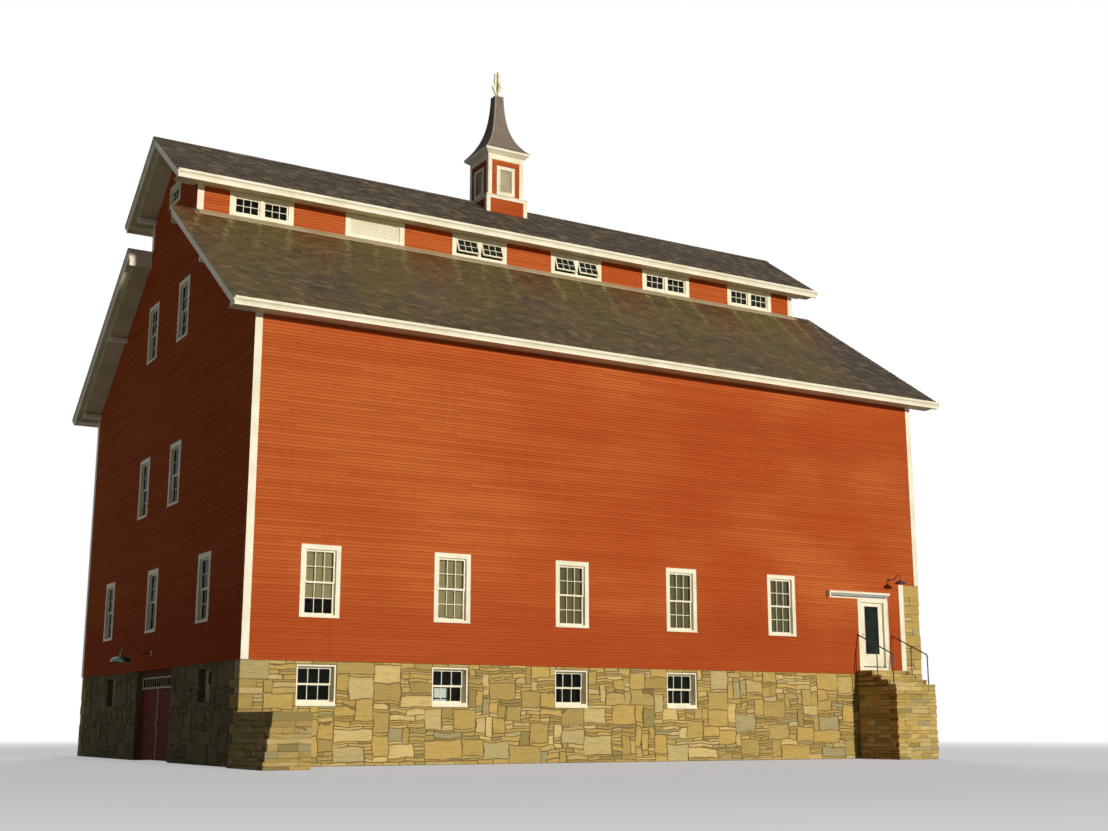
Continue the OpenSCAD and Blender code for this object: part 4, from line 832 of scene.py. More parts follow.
# Stone faces: a grid over each stone, with lines along its four edges and a few between them.
# Outwards a stone rises over its edge, then by 1 - s^4 t^4 / 4 where s and t run from -1 to 1
# across and up; it leans and is roughened, and its border is sunk into the mortar. The four
# corners are drawn in by chance, and a slow wave bends all joints alike and dies out beside
# openings and at the wall's edges
def rubbleFaces(width, height, blocked, seed):
    rng = np.random.RandomState(seed)
    laid = layRubble(width, height, blocked, rng)
    n = len(laid)
    half = np.stack([laid[:, 1] - laid[:, 0], laid[:, 3] - laid[:, 2]], 1) / 2
    inner = 1 - np.minimum(rubble["edge"] / half, 0.3)
    columns = np.array([(-1, 0), (0, -1), (0, -0.5), (0, 0), (0, 0.5), (0, 1), (1, 0)], float)
    rows = columns[[0, 1, 3, 5, 6]]
    across = columns[:, 0] + inner[:, :1] * columns[:, 1]
    up = rows[:, 0] + inner[:, 1:] * rows[:, 1]
    ss = np.tile(across, (1, 5))
    tt = np.repeat(up, 7, axis=1)
    joint = np.minimum(rubble["joint"], half.min(1) * 0.35)[:, None]
    drawnIn = np.minimum(rubble["jitter"], half.min(1) * 0.3)[:, None]
    corner = rng.uniform(0, 1, (2, 4, n, 1)) * drawnIn
    share = np.stack([(1 + a * ss) * (1 + b * tt) / 4 for a in (-1, 1) for b in (-1, 1)])
    inward = (corner * share[None]).sum(1)
    u = laid[:, :2].mean(1)[:, None] + (half[:, :1] - joint - inward[0]) * ss
    v = laid[:, 2:].mean(1)[:, None] + (half[:, 1:] - joint - inward[1]) * tt
    dome = (np.maximum(abs(ss), abs(tt)) < 0.999) * (1 - 0.25 * ss ** 4 * tt ** 4)
    proud = rng.uniform(rubble["low"], rubble["high"], (n, 1))
    lean = rng.normal(0, rubble["lean"], (2, n, 1))
    rough = rng.normal(0, rubble["rough"], (n, 35))
    d = dome * (proud + rubble["sunk"] + lean[0] * ss + lean[1] * tt + rough)
    d = np.minimum(d - rubble["sunk"], rubble["high"] + 0.004)
    calm = np.minimum(np.minimum(u, width - u), np.minimum(v, height - v))
    for a, b, low, high in blocked:
        calm = np.minimum(calm, np.maximum(np.maximum(a - u, u - b), np.maximum(low - v, v - high)))
    calm = np.clip(calm / rubble["calm"], 0, 1) * rubble["wave"]
    bend = np.sin(u * 4.1 + 1.7 * np.sin(v * 3.3 + seed)) + np.sin(u * 9.7 + v * 7.9 + seed)
    shift = np.sin(v * 8.3 + 1.3 * np.sin(u * 2.7)) + np.sin(v * 15.1 - u * 6.1 + seed)
    quads = [repeated(gridFaces(5, 7), 35, n)]
    return u + calm * shift, v + calm * bend, d, quads, np.repeat(rng.rand(n), 35)


# Whole stones: a box with a line of points along every edge. Its edges are drawn in by 0.3 of
# the worn width and its corners by 0.5, and every point is shaken a little
def stoneShape():
    line = np.array([(-1, 0), (-1, 1), (1, 1), (1, 0)])
    sheets = []
    for axis in range(3):
        for side in (-1, 1):
            a, b = np.meshgrid(range(4), range(4), indexing="ij")
            p = np.zeros((16, 3, 2), int)
            p[:, axis] = (side, 0)
            p[:, (axis + 1) % 3] = line[(a if side > 0 else b).ravel()]
            p[:, (axis + 2) % 3] = line[(b if side > 0 else a).ravel()]
            sheets.append(p.reshape(16, 6))
    corners, merged = np.unique(np.concatenate(sheets), axis=0, return_inverse=True)
    corners = corners.reshape(-1, 3, 2)
    return corners[:, :, 0], corners[:, :, 1], merged.ravel()[repeated(gridFaces(4, 4), 16, 6)]


stoneSign, stoneInner, stoneQuads = stoneShape()


def wholeStones(rows, seed, shake=0.006, worn=0.014):
    rng = np.random.RandomState(seed)
    rows = np.asarray(rows, float)
    low, high = rows[:, 0::2], rows[:, 1::2]
    half = (high - low)[:, None] / 2
    edge = np.minimum(worn, 0.35 * half)
    outer = 1 - stoneInner
    pull = np.array([0.0, 0.0, 0.3, 0.5])[outer.sum(1)][:, None]
    reach = half - edge * (stoneInner + outer * pull)
    n = len(stoneSign)
    verts = (low + high)[:, None] / 2 + stoneSign * reach + rng.normal(0, shake, (len(rows), n, 3))
    part = facedOut(verts.reshape(-1, 3), [repeated(stoneQuads, n, len(rows))])
    return part, np.repeat(rng.rand(len(rows)), n)


# One piece of several stone parts; the last number is the share of dark green-grey painted shade on them
def stonePiece(name, parts, paintedShade=0.0):
    tone = np.concatenate([t for _, t in parts])
    marks = {"tone": tone, "paintedShade": np.full(len(tone), paintedShade)}
    makePiece(name, [part for part, _ in parts], stone, marks=marks)


inset = barn["stoneInset"]
wallEnd = halfL - inset
sideEnd = halfW - inset
stoneWalls = fourFaces(wallEnd, sideEnd)


# Rubble on part of a wall, with only the openings that reach into it
def rubbleOn(name, u0, u1, z0, z1, blocked, seed):
    holes = [(max(a, u0) - u0, min(b, u1) - u0, max(low, z0) - z0, min(high, z1) - z0)
             for a, b, low, high in blocked if high > z0 and low < z1 and b > u0 and a < u1]
    u, v, d, quads, tone = rubbleFaces(u1 - u0, z1 - z0, holes, seed)
    return (onFace(stoneWalls[name], u + u0, v + z0, d).reshape(-1, 3), quads), tone


# Corner stones: a pile of blocks, long on one wall and short on the other by turns
quoin = {"long": 0.62, "short": 0.36, "low": 0.14, "high": 0.38, "proud": 0.026, "joint": 0.005}
quoinParts = {}
taken = {name: [] for name in stoneWalls}
cornerPlaces = [("front", "west", -1, -1, foot, 3), ("back", "west", -1, 1, foot, 4),
                ("front", "east", 1, -1, stoneTop, 5), ("back", "east", 1, 1, stoneTop, 6)]
for longWall, gable, signX, signY, top, seed in cornerPlaces:
    rng = np.random.RandomState(seed)
    z = [0.0]
    while top - z[-1] > quoin["high"] * 1.3:
        z.append(z[-1] + rng.uniform(quoin["low"], quoin["high"]))
    z.append(top)
    rows = []
    for k, (low, high) in enumerate(zip(z[:-1], z[1:])):
        reach = [quoin["long"], quoin["short"]] if (k + seed) % 2 else [quoin["short"], quoin["long"]]
        dx, dy = np.array(reach) * rng.uniform(0.85, 1.2, 2)
        proud = quoin["proud"] * rng.uniform(0.6, 1.2)
        x = sorted([signX * (wallEnd + proud), signX * (wallEnd - dx)])
        y = sorted([signY * (sideEnd + proud), signY * (sideEnd - dy)])
        rows.append(x + y + [low + quoin["joint"], high - quoin["joint"]])
        sides = ((longWall, 0, signX, wallEnd, dx), (gable, 1, signY, sideEnd, dy))
        for wall, axis, sign, end, d in sides:
            u = sign * stoneWalls[wall]["right"][axis]
            taken[wall].append((*sorted([u * end, u * (end - d)]), low, high))
    quoinParts[longWall + gable] = wholeStones(rows, seed + 80)
# The west corner stones get some painted shade
stonePiece("corner_stones_west", [quoinParts["frontwest"], quoinParts["backwest"]], 0.35)
stonePiece("corner_stones_east", [quoinParts["fronteast"], quoinParts["backeast"]])

stoop = {"x": entry["x"] + 0.05, "w": 1.61, "top": 2.69, "landing": 0.667, "tread": 0.345, "riser": 0.15,
         "steps": 3, "slab": 0.055, "nose": 0.02}
cellarPlaces = [("front", u) for u in bays[:4]] + [("back", -u) for u in bays[:4]]
cellarPlaces += [("west", u) for u in (cellar["front"], cellar["back"])]
cellarHoles = {"front": [], "back": [], "west": []}
for name, u in cellarPlaces:
    cellarHoles[name].append(around(u, cellar["w"], cellar["z"], cellar["h"], 0))
cellarHoles["west"].append(around(-cellarDoor["y"], cellarDoor["w"], 0.0, foot, 0))
cellarHoles["front"].append(around(stoop["x"], stoop["w"] - 0.06, 0.0, foot, 0))
cellarHoles["east"] = []
# Each wall: its end, its top, a seed and its share of painted shade, which is full on the sunless west wall
walls = {"front": (wallEnd, foot, 101, 0.0), "back": (wallEnd, foot, 102, 0.0),
         "west": (sideEnd, foot, 103, 1.0), "east": (sideEnd, stoneTop, 104, 0.0)}
for name, (end, top, seed, paintedShade) in walls.items():
    laid = rubbleOn(name, -end, end, 0, top, cellarHoles[name] + taken[name], seed)
    stonePiece("rubble_" + name, [laid], paintedShade)
uphill = halfL - barn["stoneThick"] + 0.01
laid = [rubbleOn("front", uphill, wallEnd, foot, stoneTop, taken["front"], 105),
        rubbleOn("back", -wallEnd, -uphill, foot, stoneTop, taken["back"], 106)]
stonePiece("rubble_uphill_ends", laid)


# A dry pile: flat stones in layers along the west, front and east sides of a block whose west
# side may lean; the corners go to the front and to the sides by turns
pile = {"low": 0.07, "high": 0.17, "short": 0.25, "long": 0.75, "deep": 0.3, "proud": 0.028}


def dryPile(westAt, x1, y0, y1, z0, z1, seed, capped=False):
    rng = np.random.RandomState(seed)
    rows = []
    z = z0
    k = 0
    while z < z1 - 0.001:
        h = rng.uniform(pile["low"], pile["high"])
        h = z1 - z if z1 - z < 1.5 * h else h
        west = westAt(z + h / 2)
        deep = pile["deep"]
        frontOut = k % 2 == 0
        runs = [("front", west, x1) if frontOut else ("front", west + deep, x1 - deep)]
        runs += [(side, y0 + deep if frontOut else y0, y1) for side in ("west", "east")]
        if capped and z + h > z1 - 0.001:
            runs = [("cap", y0, y1)]
        for side, a, b in runs:
            while b - a > 0.02:
                length = rng.uniform(pile["short"], pile["long"])
                length = b - a if b - a < length * 1.4 else length
                proud = rng.uniform(0.3, 1.0) * pile["proud"]
                start = a - proud if a == y0 else a
                span = {"front": [a, a + length, y0 - proud, y0 + deep],
                        "west": [west - proud, west + deep, start, a + length],
                        "east": [x1 - deep, x1 + proud, start, a + length],
                        "cap": [west - proud, x1 + proud, start, a + length]}[side]
                rows.append(span + [z + 0.003, z + h - 0.003])
                a += length
        z += h
        k += 1
    return wholeStones(rows, seed + 1, 0.007)


wing = {"x0": -11.63, "x1": -10.47, "top": 1.32, "length": 2.5}
lean = (wing["x0"] + wallEnd) / wing["top"]
wingPile = dryPile(lambda z: wing["x0"] - lean * z, wing["x1"], -sideEnd - wing["length"], -sideEnd, 0.0,
                   wing["top"], 201, True)
# The wing's stones get some painted shade
stonePiece("wing_stones", [wingPile], 0.3)
left = stoop["x"] - stoop["w"] / 2
right = stoop["x"] + stoop["w"] / 2
stoopParts = []
low = 0.0
for k in range(stoop["steps"], -1, -1):
    top = stoop["top"] - k * stoop["riser"]
    near = -halfW - stoop["landing"] - k * stoop["tread"]
    stoopParts.append(dryPile(lambda z: left, right, near, -halfW - 0.03, low, top - stoop["slab"], 211 + k))
    rng = np.random.RandomState(221 + k)
    cut = left + stoop["w"] * rng.uniform(0.35, 0.65)
    far = near + stoop["tread"] if k else -halfW - 0.03
    rows = [[a, b, near - stoop["nose"], far, top - stoop["slab"] + 0.002, top + 0.006]
            for a, b in ((left - stoop["nose"], cut - 0.004), (cut + 0.004, right + stoop["nose"]))]
    stoopParts.append(wholeStones(rows, 231 + k, 0.004))
    low = top
stonePiece("stoop_stones", stoopParts)
print("stones laid")


# Muntin bars inside a sash's frame: the width and height between the stiles are shared evenly
# between the panes, and the bars across stand back where they meet those upright
muntin = {"columns": 3, "front": 0.004, "back": 0.031, "behind": 0.002}


def paneBars(w, h, y, rows, z):
    half = sash["bar"] / 2
    wide = w / 2 - sash["stile"]
    low = z + sash["stile"]
    high = z + h - sash["stile"]
    near = y + muntin["front"]
    far = y + muntin["back"]
    across = np.linspace(-wide, wide, muntin["columns"] + 1)[1:-1]
    bars = [[u - half, u + half, near, far, low, high] for u in across]
    for v in np.linspace(low, high, rows + 1)[1:-1]:
        bars.append([-wide, wide, near + muntin["behind"], far - muntin["behind"], v - half, v + half])
    return bars


# The bars of a window's two sashes, which overlap by a stile; the lower one is further in
def sashPair(w, h, casing, sill, y, rows):
    lite = h - casing - sill
    each = (lite + sash["stile"]) / 2
    w -= 2 * casing
    upper = paneBars(w, each, y, rows, sill + lite - each)
    return upper + paneBars(w, each, y + sash["thick"], rows, sill)


# Sill nose and head cap of a cased window
def sillAndCap(w, h):
    return [[-w / 2 - 0.004, w / 2 + 0.004, -0.036, 0.0, -0.004, 0.03],
            [-w / 2 - 0.002, w / 2 + 0.002, -0.032, 0.0, h - 0.012, h + 0.006]]


sashPlaces = {
    "front": [("front", u, sash["z"]) for u in bays[:5]],
    "back": [("back", u, sash["z"]) for u in bays],
    "gables": ([("west", u, sash["z"]) for u in (-sash["gableFar"], 0, sash["gableFar"])]
               + [(name, sign * sash["gableNear"], z) for name in ("west", "east")
                  for z in sash["gableZ"] for sign in (-1, 1)]),
}
for group, places in sashPlaces.items():
    rows = sashPair(sash["w"], sash["h"], sash["casing"], sash["sill"], sash["upper"], 2)
    rows += sillAndCap(sash["w"], sash["h"])
    parts = [onWall(faces[name], boxes(rows), u, z) for name, u, z in places]
    if group == "gables":
        w = peak["w"] - 2 * sash["casing"]
        rows = paneBars(w, peak["h"] - 2 * sash["casing"], sash["upper"], 2, sash["casing"])
        rows += sillAndCap(peak["w"], peak["h"])
        parts += [onWall(faces[name], boxes(rows), 0, peak["z"]) for name in ("west", "east")]
    makePiece("muntins_" + group, parts)

rows = sashPair(cellar["w"], cellar["h"], cellar["frame"], cellar["sill"], cellar["set"], 1)
rows.append([-cellar["w"] / 2, cellar["w"] / 2, 0.02, 0.062, 0.0, 0.05])
parts = [onWall(faces[name], boxes(rows), u, cellar["z"]) for name, u in cellarPlaces]
makePiece("muntins_basement", parts)

# The monitor's hung sashes: bars drawn under the pivot at the head, then turned outwards about it
mw = monitorWindow
liteH = mw["h"] - mw["sill"] - mw["head"]
liteW = (mw["w"] - 2 * mw["side"] - mw["mullion"]) / 2
parts = []
barVerts, barSets = boxes(paneBars(liteW, liteH, 0.0, 2, -liteH))
for name in ("front", "back"):
    place = monitorFaces[name]
    for i, u in enumerate(bays):
        if i == mw["louvreBay"]:
            continue
        tilt = mw["tilt"] if name == "front" and i in mw["openBays"] else 0.0
        c, s = math.cos(tilt), math.sin(tilt)
        for sign in (-1, 1):
            x, y, z = barVerts.T
            local = [x, mw["set"] + y * c + z * s, mw["sill"] + liteH + z * c - y * s]
            middle = u * place["right"][0] + sign * (liteW + mw["mullion"]) / 2
            parts.append(onWall(place, (np.stack(local, 1), barSets), middle, mw["z"]))
makePiece("muntins_monitor", parts)

# Roller blinds behind the front windows: a sheet whose folds are two slow sine waves across,
# with a hem bar at its foot; the two next to the corner are pale
blindSizes = {"w": 0.83, "top": 1.735, "feet": [0.5, 0.16, 0.1, 0.1, 0.1], "pale": 2, "set": 0.14,
              "fold": 0.003, "hem": 0.012}
parts = []
tones = []
half, hem = blindSizes["w"] / 2, blindSizes["hem"]
for k, (u, z0) in enumerate(zip(bays, blindSizes["feet"])):
    t, s = np.meshgrid(np.linspace(z0, blindSizes["top"], 10), np.linspace(-0.5, 0.5, 22), indexing="ij")
    y = blindSizes["set"] + blindSizes["fold"] * (np.sin(s * 17) + np.sin(s * 41 + t * 2))
    sheet = np.stack([s * blindSizes["w"], y, t], 2).reshape(-1, 3), [gridFaces(10, 22)]
    bar = boxes([[-half, half, blindSizes["set"] - hem, blindSizes["set"] + hem, z0 - hem, z0 + hem + 0.002]])
    for part in (sheet, bar):
        parts.append(onWall(faces["front"], part, u, sash["z"]))
        tones.append(np.full(len(part[0]), float(k < blindSizes["pale"])))
makePiece("roller_blinds", parts, blind, marks={"tone": np.concatenate(tones)})

# Entry door: beads round the glass on both sides, a raised panel below it, a backband round the
# casing and a threshold
half = entry["leaf"] / 2 - entry["stile"]
low = entry["rail"] + 0.006
high = entry["leafTop"] - entry["stile"] * 0.6
beads = []
bead = {"wide": 0.014, "proud": 0.008}
wide, proud = bead["wide"], bead["proud"]
for y in (entry["set"] - proud, entry["set"] + entry["thick"]):
    beads += [[x, x + wide, y, y + proud, low, high] for x in (-half, half - wide)]
    beads += [[-half, half, y, y + proud, z, z + wide] for z in (low, high - wide)]
    beads += [[-0.27, 0.27, y + 0.002, y + 0.006, 0.09, 0.31], [-0.23, 0.23, y, y + proud, 0.13, 0.27]]


# Boxes on the front wall, about the entry door and over its floor
def onEntry(rows, chamfer=0.004):
    return onWall(faces["front"], boxes(rows, chamfer), entry["x"], entry["floor"])


makePiece("entry_beads", onEntry(beads, 0.003), body="entry_leaf")
side = entry["casing"] / 2
low, high = entry["sill"] - entry["floor"], entry["head"] - entry["floor"]
band = [[-side - 0.01, -side + 0.018, -0.036, 0.0, low, high],
        [side - 0.018, side + 0.01, -0.036, 0.0, low, high],
        [-side, side, -0.045, 0.0, -0.055, -0.03]]
makePiece("entry_backband", onEntry(band))
plate = [[-0.468, 0.468, -0.05, 0.055, -0.03, 0.0005], [-0.46, 0.46, -0.056, -0.02, -0.02, -0.006]]
makePiece("entry_threshold", onEntry(plate), ironPaint)

# Hood: a cream edge board along the front and the left end of its top, and a folded drip on it
hoodTop = entry["head"] + entry["hoodH"]
hoodLeft = hoodRight - entry["hoodL"]
hoodEdge = {"h": 0.062, "proud": 0.007, "thick": 0.012}
d = entry["hoodD"] + hoodEdge["proud"]
low = hoodTop - hoodEdge["h"]
left, right = hoodLeft - hoodEdge["proud"], hoodRight + 0.004
rows = [[left, right, -d, -d + hoodEdge["thick"], low, hoodTop + 0.004],
        [left, hoodLeft + 0.005, -d, 0.0, low, hoodTop + 0.004],
        [left - 0.004, right, -d - 0.004, 0.0, hoodTop - 0.002, hoodTop + 0.008]]
makePiece("hood_edge_boards", onWall(faces["front"], boxes(rows, 0.002)))

# The two windows beside the basement doors sit deep in the wall: slabs of stone line the first
# part of the opening on both sides, its head and its sill
lining = {"deep": (0.015, 0.19), "thick": 0.06, "sill": 0.125, "course": 0.2, "joint": 0.004}
deep = lining["deep"]
rows = []
for u in (cellar["front"], cellar["back"]):
    n = int(round(cellar["h"] / lining["course"]))
    edge = np.linspace(cellar["z"], cellar["z"] + cellar["h"], n + 1)
    near = u - cellar["w"] / 2
    far = u + cellar["w"] / 2
    for low, high in zip(edge[:-1], edge[1:]):
        for a, b in ((near, near + lining["thick"]), (far - lining["thick"], far)):
            rows.append([a, b, *deep, low + lining["joint"], high - lining["joint"]])
    rows.append([near, far, *deep, edge[-1] - lining["thick"], edge[-1]])
    rows.append([near, far, deep[0] - 0.01, deep[1], edge[0], edge[0] + lining["sill"]])
part, tone = wholeStones(rows, 241, 0.003)
placed = onWall(faces["west"], part)
# The west window linings get full painted shade
stonePiece("window_linings_west", [(placed, tone)], 1.0)
print("windows and entry dressed")

# Basement doors: upright boards with gaps on both faces of each leaf, a pale cover strip and a
# latch on the meeting stile, cream bars and rail in the light, planks in the panel above
cd = cellarDoor
doorY0 = cd["y"] - cd["w"] / 2
doorY1 = cd["y"] + cd["w"] / 2
openW = cd["w"] - 2 * cd["post"]
leafW = (openW - cd["meet"]) / 2 - cd["gap"]
boardWork = {"width": 0.14, "gap": 0.006, "proud": 0.005, "thick": 0.06, "ledge": 0.022,
             "ledges": [0.3, 1.02, 1.74]}


# Upright boards of nearly the named width side by side, half a gap in from each edge
def boardRows(y0, y1, x0, x1, z0, z1):
    n = int(round((y1 - y0) / boardWork["width"]))
    edge = np.linspace(y0, y1, n + 1)
    gap = boardWork["gap"] / 2
    return [[x0, x1, a + gap, b - gap, z0, z1] for a, b in zip(edge[:-1], edge[1:])]


leaves = {"basement_front_leaf": (doorY0 + cd["post"] + cd["gap"], -1),
          "basement_back_leaf": (doorY1 - cd["post"] - cd["gap"] - leafW, 1)}
outer = cd["face"]
inner = outer + boardWork["thick"]
low, high = cd["foot"], cd["top"]
for body, (y0, hinge) in leaves.items():
    y1 = y0 + leafW
    end = y1 - (cd["astragal"] if hinge < 0 else 0.0) - 0.002
    rows = boardRows(y0 + 0.002, end, outer - boardWork["proud"], outer + 0.004, low + 0.004, high - 0.004)
    rows += boardRows(y0 + 0.03, y1 - 0.03, inner - 0.004, inner + 0.004, low + 0.02, high - 0.02)
    for z in boardWork["ledges"]:
        rows.append([inner, inner + boardWork["ledge"], y0 + 0.1, y1 - 0.06, z, z + 0.12])
    makePiece(body + "_boards", boxes(rows, 0.003), doorPaint, body)
meetY = doorY0 + cd["post"] + cd["gap"] + leafW
proud = outer - cd["strip"]
edge = meetY - cd["astragal"]
rows = [[proud - 0.004, outer - 0.002, edge - 0.004, edge + 0.003, low + 0.01, high - 0.01],
        [proud - 0.006, proud + 0.001, edge + 0.008, meetY - 0.008, low + 0.01, high - 0.01],
        [proud - 0.009, proud, meetY - cd["astragal"] * 0.62, meetY - cd["astragal"] * 0.38, low + 0.01,
         high - 0.01]]
# The cover strip takes the trim paint with painted shade
makePiece("door_cover_strip", boxes(rows, 0.003), shadedTrim, "basement_front_leaf")
rows = [[proud - 0.02, proud - 0.006, meetY - 0.052, meetY - 0.018, cd["latch"] - 0.11, cd["latch"] + 0.11],
        [proud - 0.032, proud - 0.018, meetY - 0.16, meetY - 0.01, cd["latch"] - 0.012, cd["latch"] + 0.012]]
knob = [(0, -0.02), (0.014, -0.016), (0.018, 0.0), (0.014, 0.016), (0, 0.02)]
latch = [boxes(rows, 0.003), turned(knob, (proud - 0.036, meetY - 0.15, cd["latch"]), 12)]
makePiece("door_latch", latch, ironPaint, "basement_front_leaf")
low = cd["head"] + cd["headH"]
high = low + cd["light"]
count = int((openW - cd["bar"]) // cd["pitch"])
at = doorY0 + cd["post"] + openW * np.arange(1, count) / count
half = cd["bar"] / 2 + 0.0005
rows = [[outer + 0.016, outer + 0.021, y - half, y + half, low, high] for y in at]
for y in (doorY0 + cd["post"], doorY1 - cd["post"]):
    rows.append([outer - 0.012, outer + 0.012, y - cd["stile"], y + cd["stile"], low, high])
for a, b in ((cd["head"] + 0.006, low + 0.004), (high, high + 0.045)):
    rows.append([outer - 0.012, outer + 0.01, doorY0 + 0.004, doorY1 - 0.004, a, b])
# The light's bars and rails take the trim paint with painted shade
makePiece("door_light_bars", boxes(rows), shadedTrim)
rows = boardRows(doorY0 + 0.01, doorY1 - 0.01, outer - 0.008, outer + 0.004, high + 0.047, foot - 0.004)
makePiece("door_panel_planks", boxes(rows, 0.003), panelPaint)
print("basement doors boarded")

# Cupola: corner boards, top rails and a cap round its red base, corner boards and a frieze on
# its body, a second step in the louvre frames and a screen behind the slats
tower = {"base": 0.79, "body": 0.68, "z": ridge + 0.085, "h": 1.585, "board": 0.13, "proud": 0.022,
         "frieze": 0.2, "louvreW": 0.5, "louvreH": 0.85, "louvreZ": 0.21}
cornice = {"half": 0.86, "h": 0.19}
corniceZ = tower["z"] + tower["h"]
baseFoot = monitorTop(tower["base"])
boards = []
trims = []
screens = []
lips = []
towerZ = tower["z"]


# The boards of one side of the tower: clapboards between two corner boards, which lap on every
# other side, with level boards from one to the other
def towerSide(place, k, half, sheet, posts, rails, holes, seed):
    b, p = tower["board"], tower["proud"]
    lap = p if k % 2 else 0
    boards.append(clapboards(place, b - half - 0.01, half - b + 0.01, *sheet, holes, seed + k))
    rows = [[-half - lap, b - half, -p, 0.0, *posts], [half - b, half + lap, -p, 0.0, *posts]]
    return rows + [[b - half, half - b, 0.003 - p, 0.0, *rail] for rail in rails]


for k, place in enumerate(fourFaces(tower["base"], tower["base"]).values()):
    rows = towerSide(place, k, tower["base"], (baseFoot - 0.02, towerZ - 0.09), (baseFoot - 0.03, towerZ),
                     [(towerZ - 0.1, towerZ)], [], 301)
    trims.append(onWall(place, boxes(rows)))
w, h, z = tower["louvreW"] / 2, tower["louvreH"], towerZ + tower["louvreZ"]
friezeZ = corniceZ - tower["frieze"]
for k, place in enumerate(fourFaces(tower["body"], tower["body"]).values()):
    rows = towerSide(place, k, tower["body"], (towerZ + 0.06, friezeZ + 0.01), (towerZ, corniceZ),
                     [(friezeZ, corniceZ), (towerZ + 0.03, towerZ + 0.075)],
                     [(-w - 0.1, w + 0.1, z - 0.1, z + h + 0.1)], 311)
    for x in (-w - 0.012, w - 0.024):
        rows.append([x, x + 0.036, -0.04, -0.02, z - 0.012, z + h + 0.012])
    for top in (z - 0.012, z + h - 0.024):
        rows.append([-w - 0.012, w + 0.012, -0.039, -0.02, top, top + 0.036])
    trims.append(onWall(place, boxes(rows)))
    screens.append(onWall(place, boxes([[-w - 0.02, w + 0.02, 0.055, 0.062, z - 0.02, z + h + 0.02]])))
for half, low in ((tower["base"] + 0.045, towerZ), (tower["base"] + 0.027, towerZ - 0.03)):
    trims.append(boxes([[-half, half, -half, half, low, low + 0.03]]))
makePiece("cupola_clapboards", boards, siding)
makePiece("cupola_trim", trims)

# The monitor's louvre panels: a screen behind the slats, and an edge board on each slat that
# takes up a share of its spacing
slatWork = {"count": 11, "face": 0.84}
step = liteH / slatWork["count"]
half = mw["w"] / 2 - mw["side"]
screen = boxes([[-half - 0.01, half + 0.01, 0.075, 0.082, mw["sill"] - 0.01, mw["h"] - mw["head"] + 0.01]])
slatEdges = boxes([[0.002 - half, half - 0.002, 0.009, 0.021, z + 0.002, z + slatWork["face"] * step]
                   for z in mw["sill"] + step * np.arange(slatWork["count"])])
for name in ("front", "back"):
    place = monitorFaces[name]
    u = bays[mw["louvreBay"]] * place["right"][0]
    screens.append(onWall(place, screen, u, mw["z"]))
    lips.append(onWall(place, slatEdges, u, mw["z"]))
makePiece("louvre_screens", screens)
makePiece("monitor_slat_edges", lips)

# Flared roof: half-width = tip + (eave - tip) e^(-height / fall), covered in courses that step
# out at their feet; roll caps follow the four corners
spire = {"tip": 0.125, "fall": 0.72, "h": 2.29, "course": 0.115, "lip": 0.012, "tuck": 0.003, "cap": 0.045,
         "capThick": 0.016}
spireFoot = corniceZ + cornice["h"]


def spireHalf(h):
    return spire["tip"] + (cornice["half"] - spire["tip"]) * np.exp(-h / spire["fall"])


n = int(spire["h"] / spire["course"])
course = np.linspace(0, spire["h"], n + 1)
heights = np.stack([course[:-1], course[:-1], course[1:]], 1).ravel()
proud = np.tile([0.0, spire["lip"], spire["tuck"]], n)
across = np.linspace(-1, 1, 7)
sheets = []
for place in fourFaces(0.0, 0.0).values():
    reach = spireHalf(heights) + proud
    u = reach[:, None] * across[None]
    verts = onFace(place, u, spireFoot + heights[:, None], np.repeat(reach[:, None], 7, 1))
    sheets.append((verts.reshape(-1, 3), [gridFaces(len(heights), 7)]))
makePiece("spire_courses", sheets, spirePaint)
path = np.linspace(0, spire["h"] - 0.01, 26)
caps = []
for signX in (-1, 1):
    for signY in (-1, 1):
        half = spireHalf(path) + 0.004
        line = np.stack([signX * half, signY * half, spireFoot + path], 1)
        leg, t = spire["cap"], spire["capThick"]
        ring = [(-leg, 0), (-leg, t), (-0.004, t), (t, -0.004), (t, -leg), (0, -leg), (-0.012, -0.012)]
        ring = np.concatenate([np.array(ring) * [signX, signY], np.zeros((7, 1))], 1)
        verts = (line[:, None] + ring[None]).reshape(-1, 3)
        ends = np.stack([np.arange(7)[::-1], np.arange(7) + 7 * (len(path) - 1)])
        caps.append(facedOut(verts, [ringFaces(len(path), 7), ends]))
tipHalf = float(spireHalf(spire["h"])) + 0.022
spireTop = spireFoot + spire["h"]
caps.append(boxes([[-tipHalf, tipHalf, -tipHalf, tipHalf, spireTop - 0.05, spireTop + 0.012]]))
makePiece("spire_caps", caps, capPaint)

# Lamps: a frosted bulb under each shade; half a pear turned round the upright
bulb = {"profile": [(0, 0.06), (0.016, 0.058), (0.017, 0.03), (0.036, 0.0), (0.038, -0.02),
                    (0.026, -0.045), (0, -0.055)],
        "places": {(-12.31, -0.255, 2.86): 1.2, (10.1375, -8.755, 5.49): 0.8}}
parts = [turned([(r * k, z * k) for r, z in bulb["profile"]], at) for at, k in bulb["places"].items()]
makePiece("lamp_bulbs", parts, frosted)
print("cupola and lamps dressed")

# Camera at the photograph's place, with its lens
view = {"place": (-23.172, -43.114, 0.993), "yaw": 0.5353, "pitch": 0.2112, "lens": 47.05}
cameraData = bpy.data.cameras.new("camera")
cameraData.lens = view["lens"]
cameraData.sensor_width = 36
cameraData.sensor_fit = "HORIZONTAL"
cameraData.clip_end = 600
camera = addObject("camera", cameraData)
camera.location = view["place"]
camera.rotation_euler = (math.pi / 2 + view["pitch"], 0, -view["yaw"])
bpy.context.scene.camera = camera

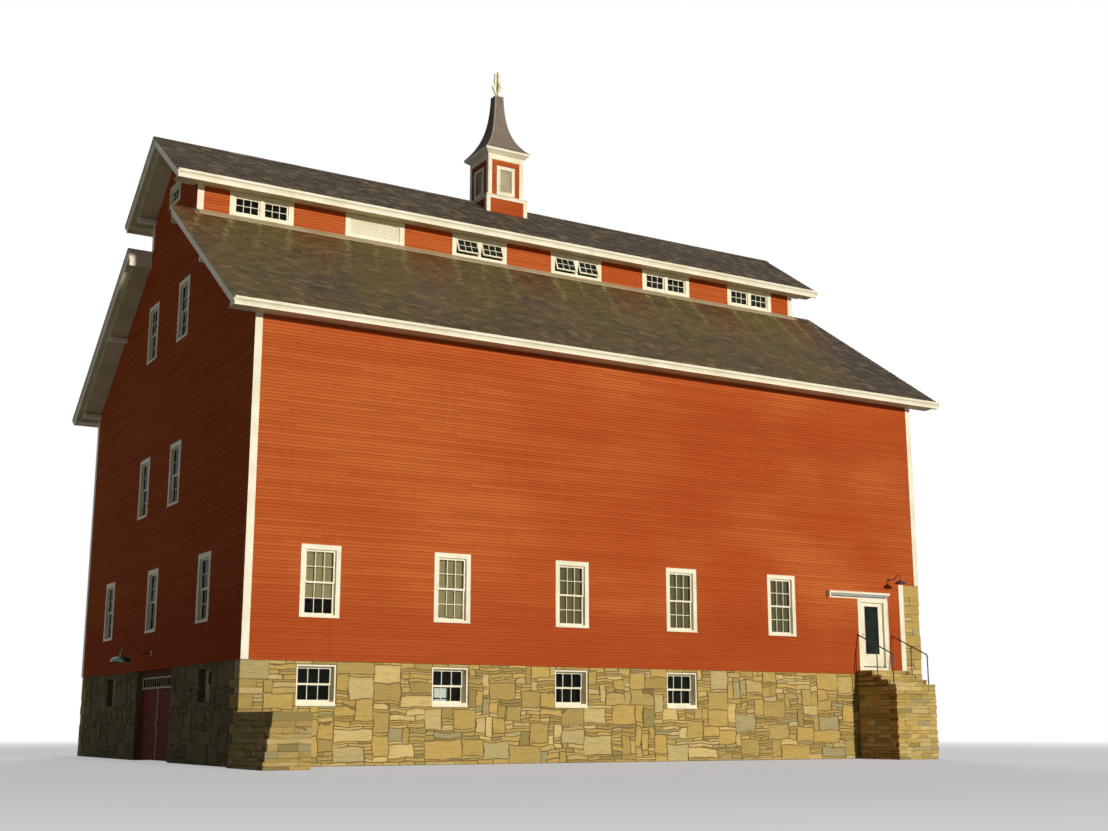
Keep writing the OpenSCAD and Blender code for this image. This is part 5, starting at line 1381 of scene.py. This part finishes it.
# Light: a low soft lamp on the front, a weak one on the back and the uphill end, and a pale sky
lamps = {"key": ((-0.119, 0.975, -0.172), 3.1, 2.0), "backFill": ((-0.45, -0.8, -0.4), 1.1, 20.0)}
sky = {"colour": "#A9C0F2", "strength": 0.11}
for name, (toward, strength, softness) in lamps.items():
    lampData = bpy.data.lights.new(name, "SUN")
    lampData.energy = strength
    lampData.angle = math.radians(softness)
    lamp = addObject(name, lampData)
    toward = np.array(toward) / np.linalg.norm(toward)
    lamp.rotation_euler = (math.acos(-toward[2]), 0, math.atan2(toward[0], -toward[1]) + math.pi)


# 1 for the rays that see the studio white: from the camera, or by way of metal or glass
def seenWhite(tree):
    rays = addNode(tree, "LightPath").node.outputs
    either = addNode(tree, "Math.MAXIMUM", [rays["Is Camera Ray"], rays["Is Glossy Ray"]])
    return addNode(tree, "Math.MAXIMUM", [either, rays["Is Transmission Ray"]])


world = bpy.data.worlds.new("studio")
world.use_nodes = True
tree = world.node_tree
tree.nodes.clear()
fill = addNode(tree, "Background", {"Color": toLinear(sky["colour"]), "Strength": sky["strength"]})
paper = addNode(tree, "Background", {"Color": (1, 1, 1, 1), "Strength": 1.0})
mix = addNode(tree, "MixShader", [seenWhite(tree), fill, paper])
addNode(tree, "OutputWorld", {"Surface": mix})
bpy.context.scene.world = world

# Floor: pale card that fades to the white background far away from the barn
stage = {"half": 260.0, "z": -0.004, "colour": "#ADABA6", "fadeStart": 22.0, "fadeEnd": 70.0, "pale": 0.4}
mesh = bpy.data.meshes.new("floor")
r = stage["half"]
corners = [(x, y, stage["z"]) for x, y in ((-r, -r), (r, -r), (r, r), (-r, r))]
mesh.from_pydata(corners, [], [(0, 1, 2, 3)])
floor = addObject("floor", mesh)
floorPaint, tree, shader = newMaterial("pale studio card", 0.9)
shader.inputs["Base Color"].default_value = toLinear(stage["colour"])
place = addNode(tree, "TexCoord", output="Object")
distance = addNode(tree, "VectorMath.LENGTH", [place], output="Value")
fade = addNode(tree, "MapRange", [distance, stage["fadeStart"], stage["fadeEnd"], stage["pale"]],
               interpolation_type="SMOOTHSTEP")
fade = addNode(tree, "Math.MULTIPLY", [fade, seenWhite(tree)])
white = addNode(tree, "Emission", {"Color": (1, 1, 1, 1), "Strength": 1.0})
showInstead(tree, addNode(tree, "MixShader", [fade, shader.outputs[0], white]))
mesh.materials.append(floorPaint)

bpy.context.scene.view_settings.view_transform = "Standard"
print("scene ready")
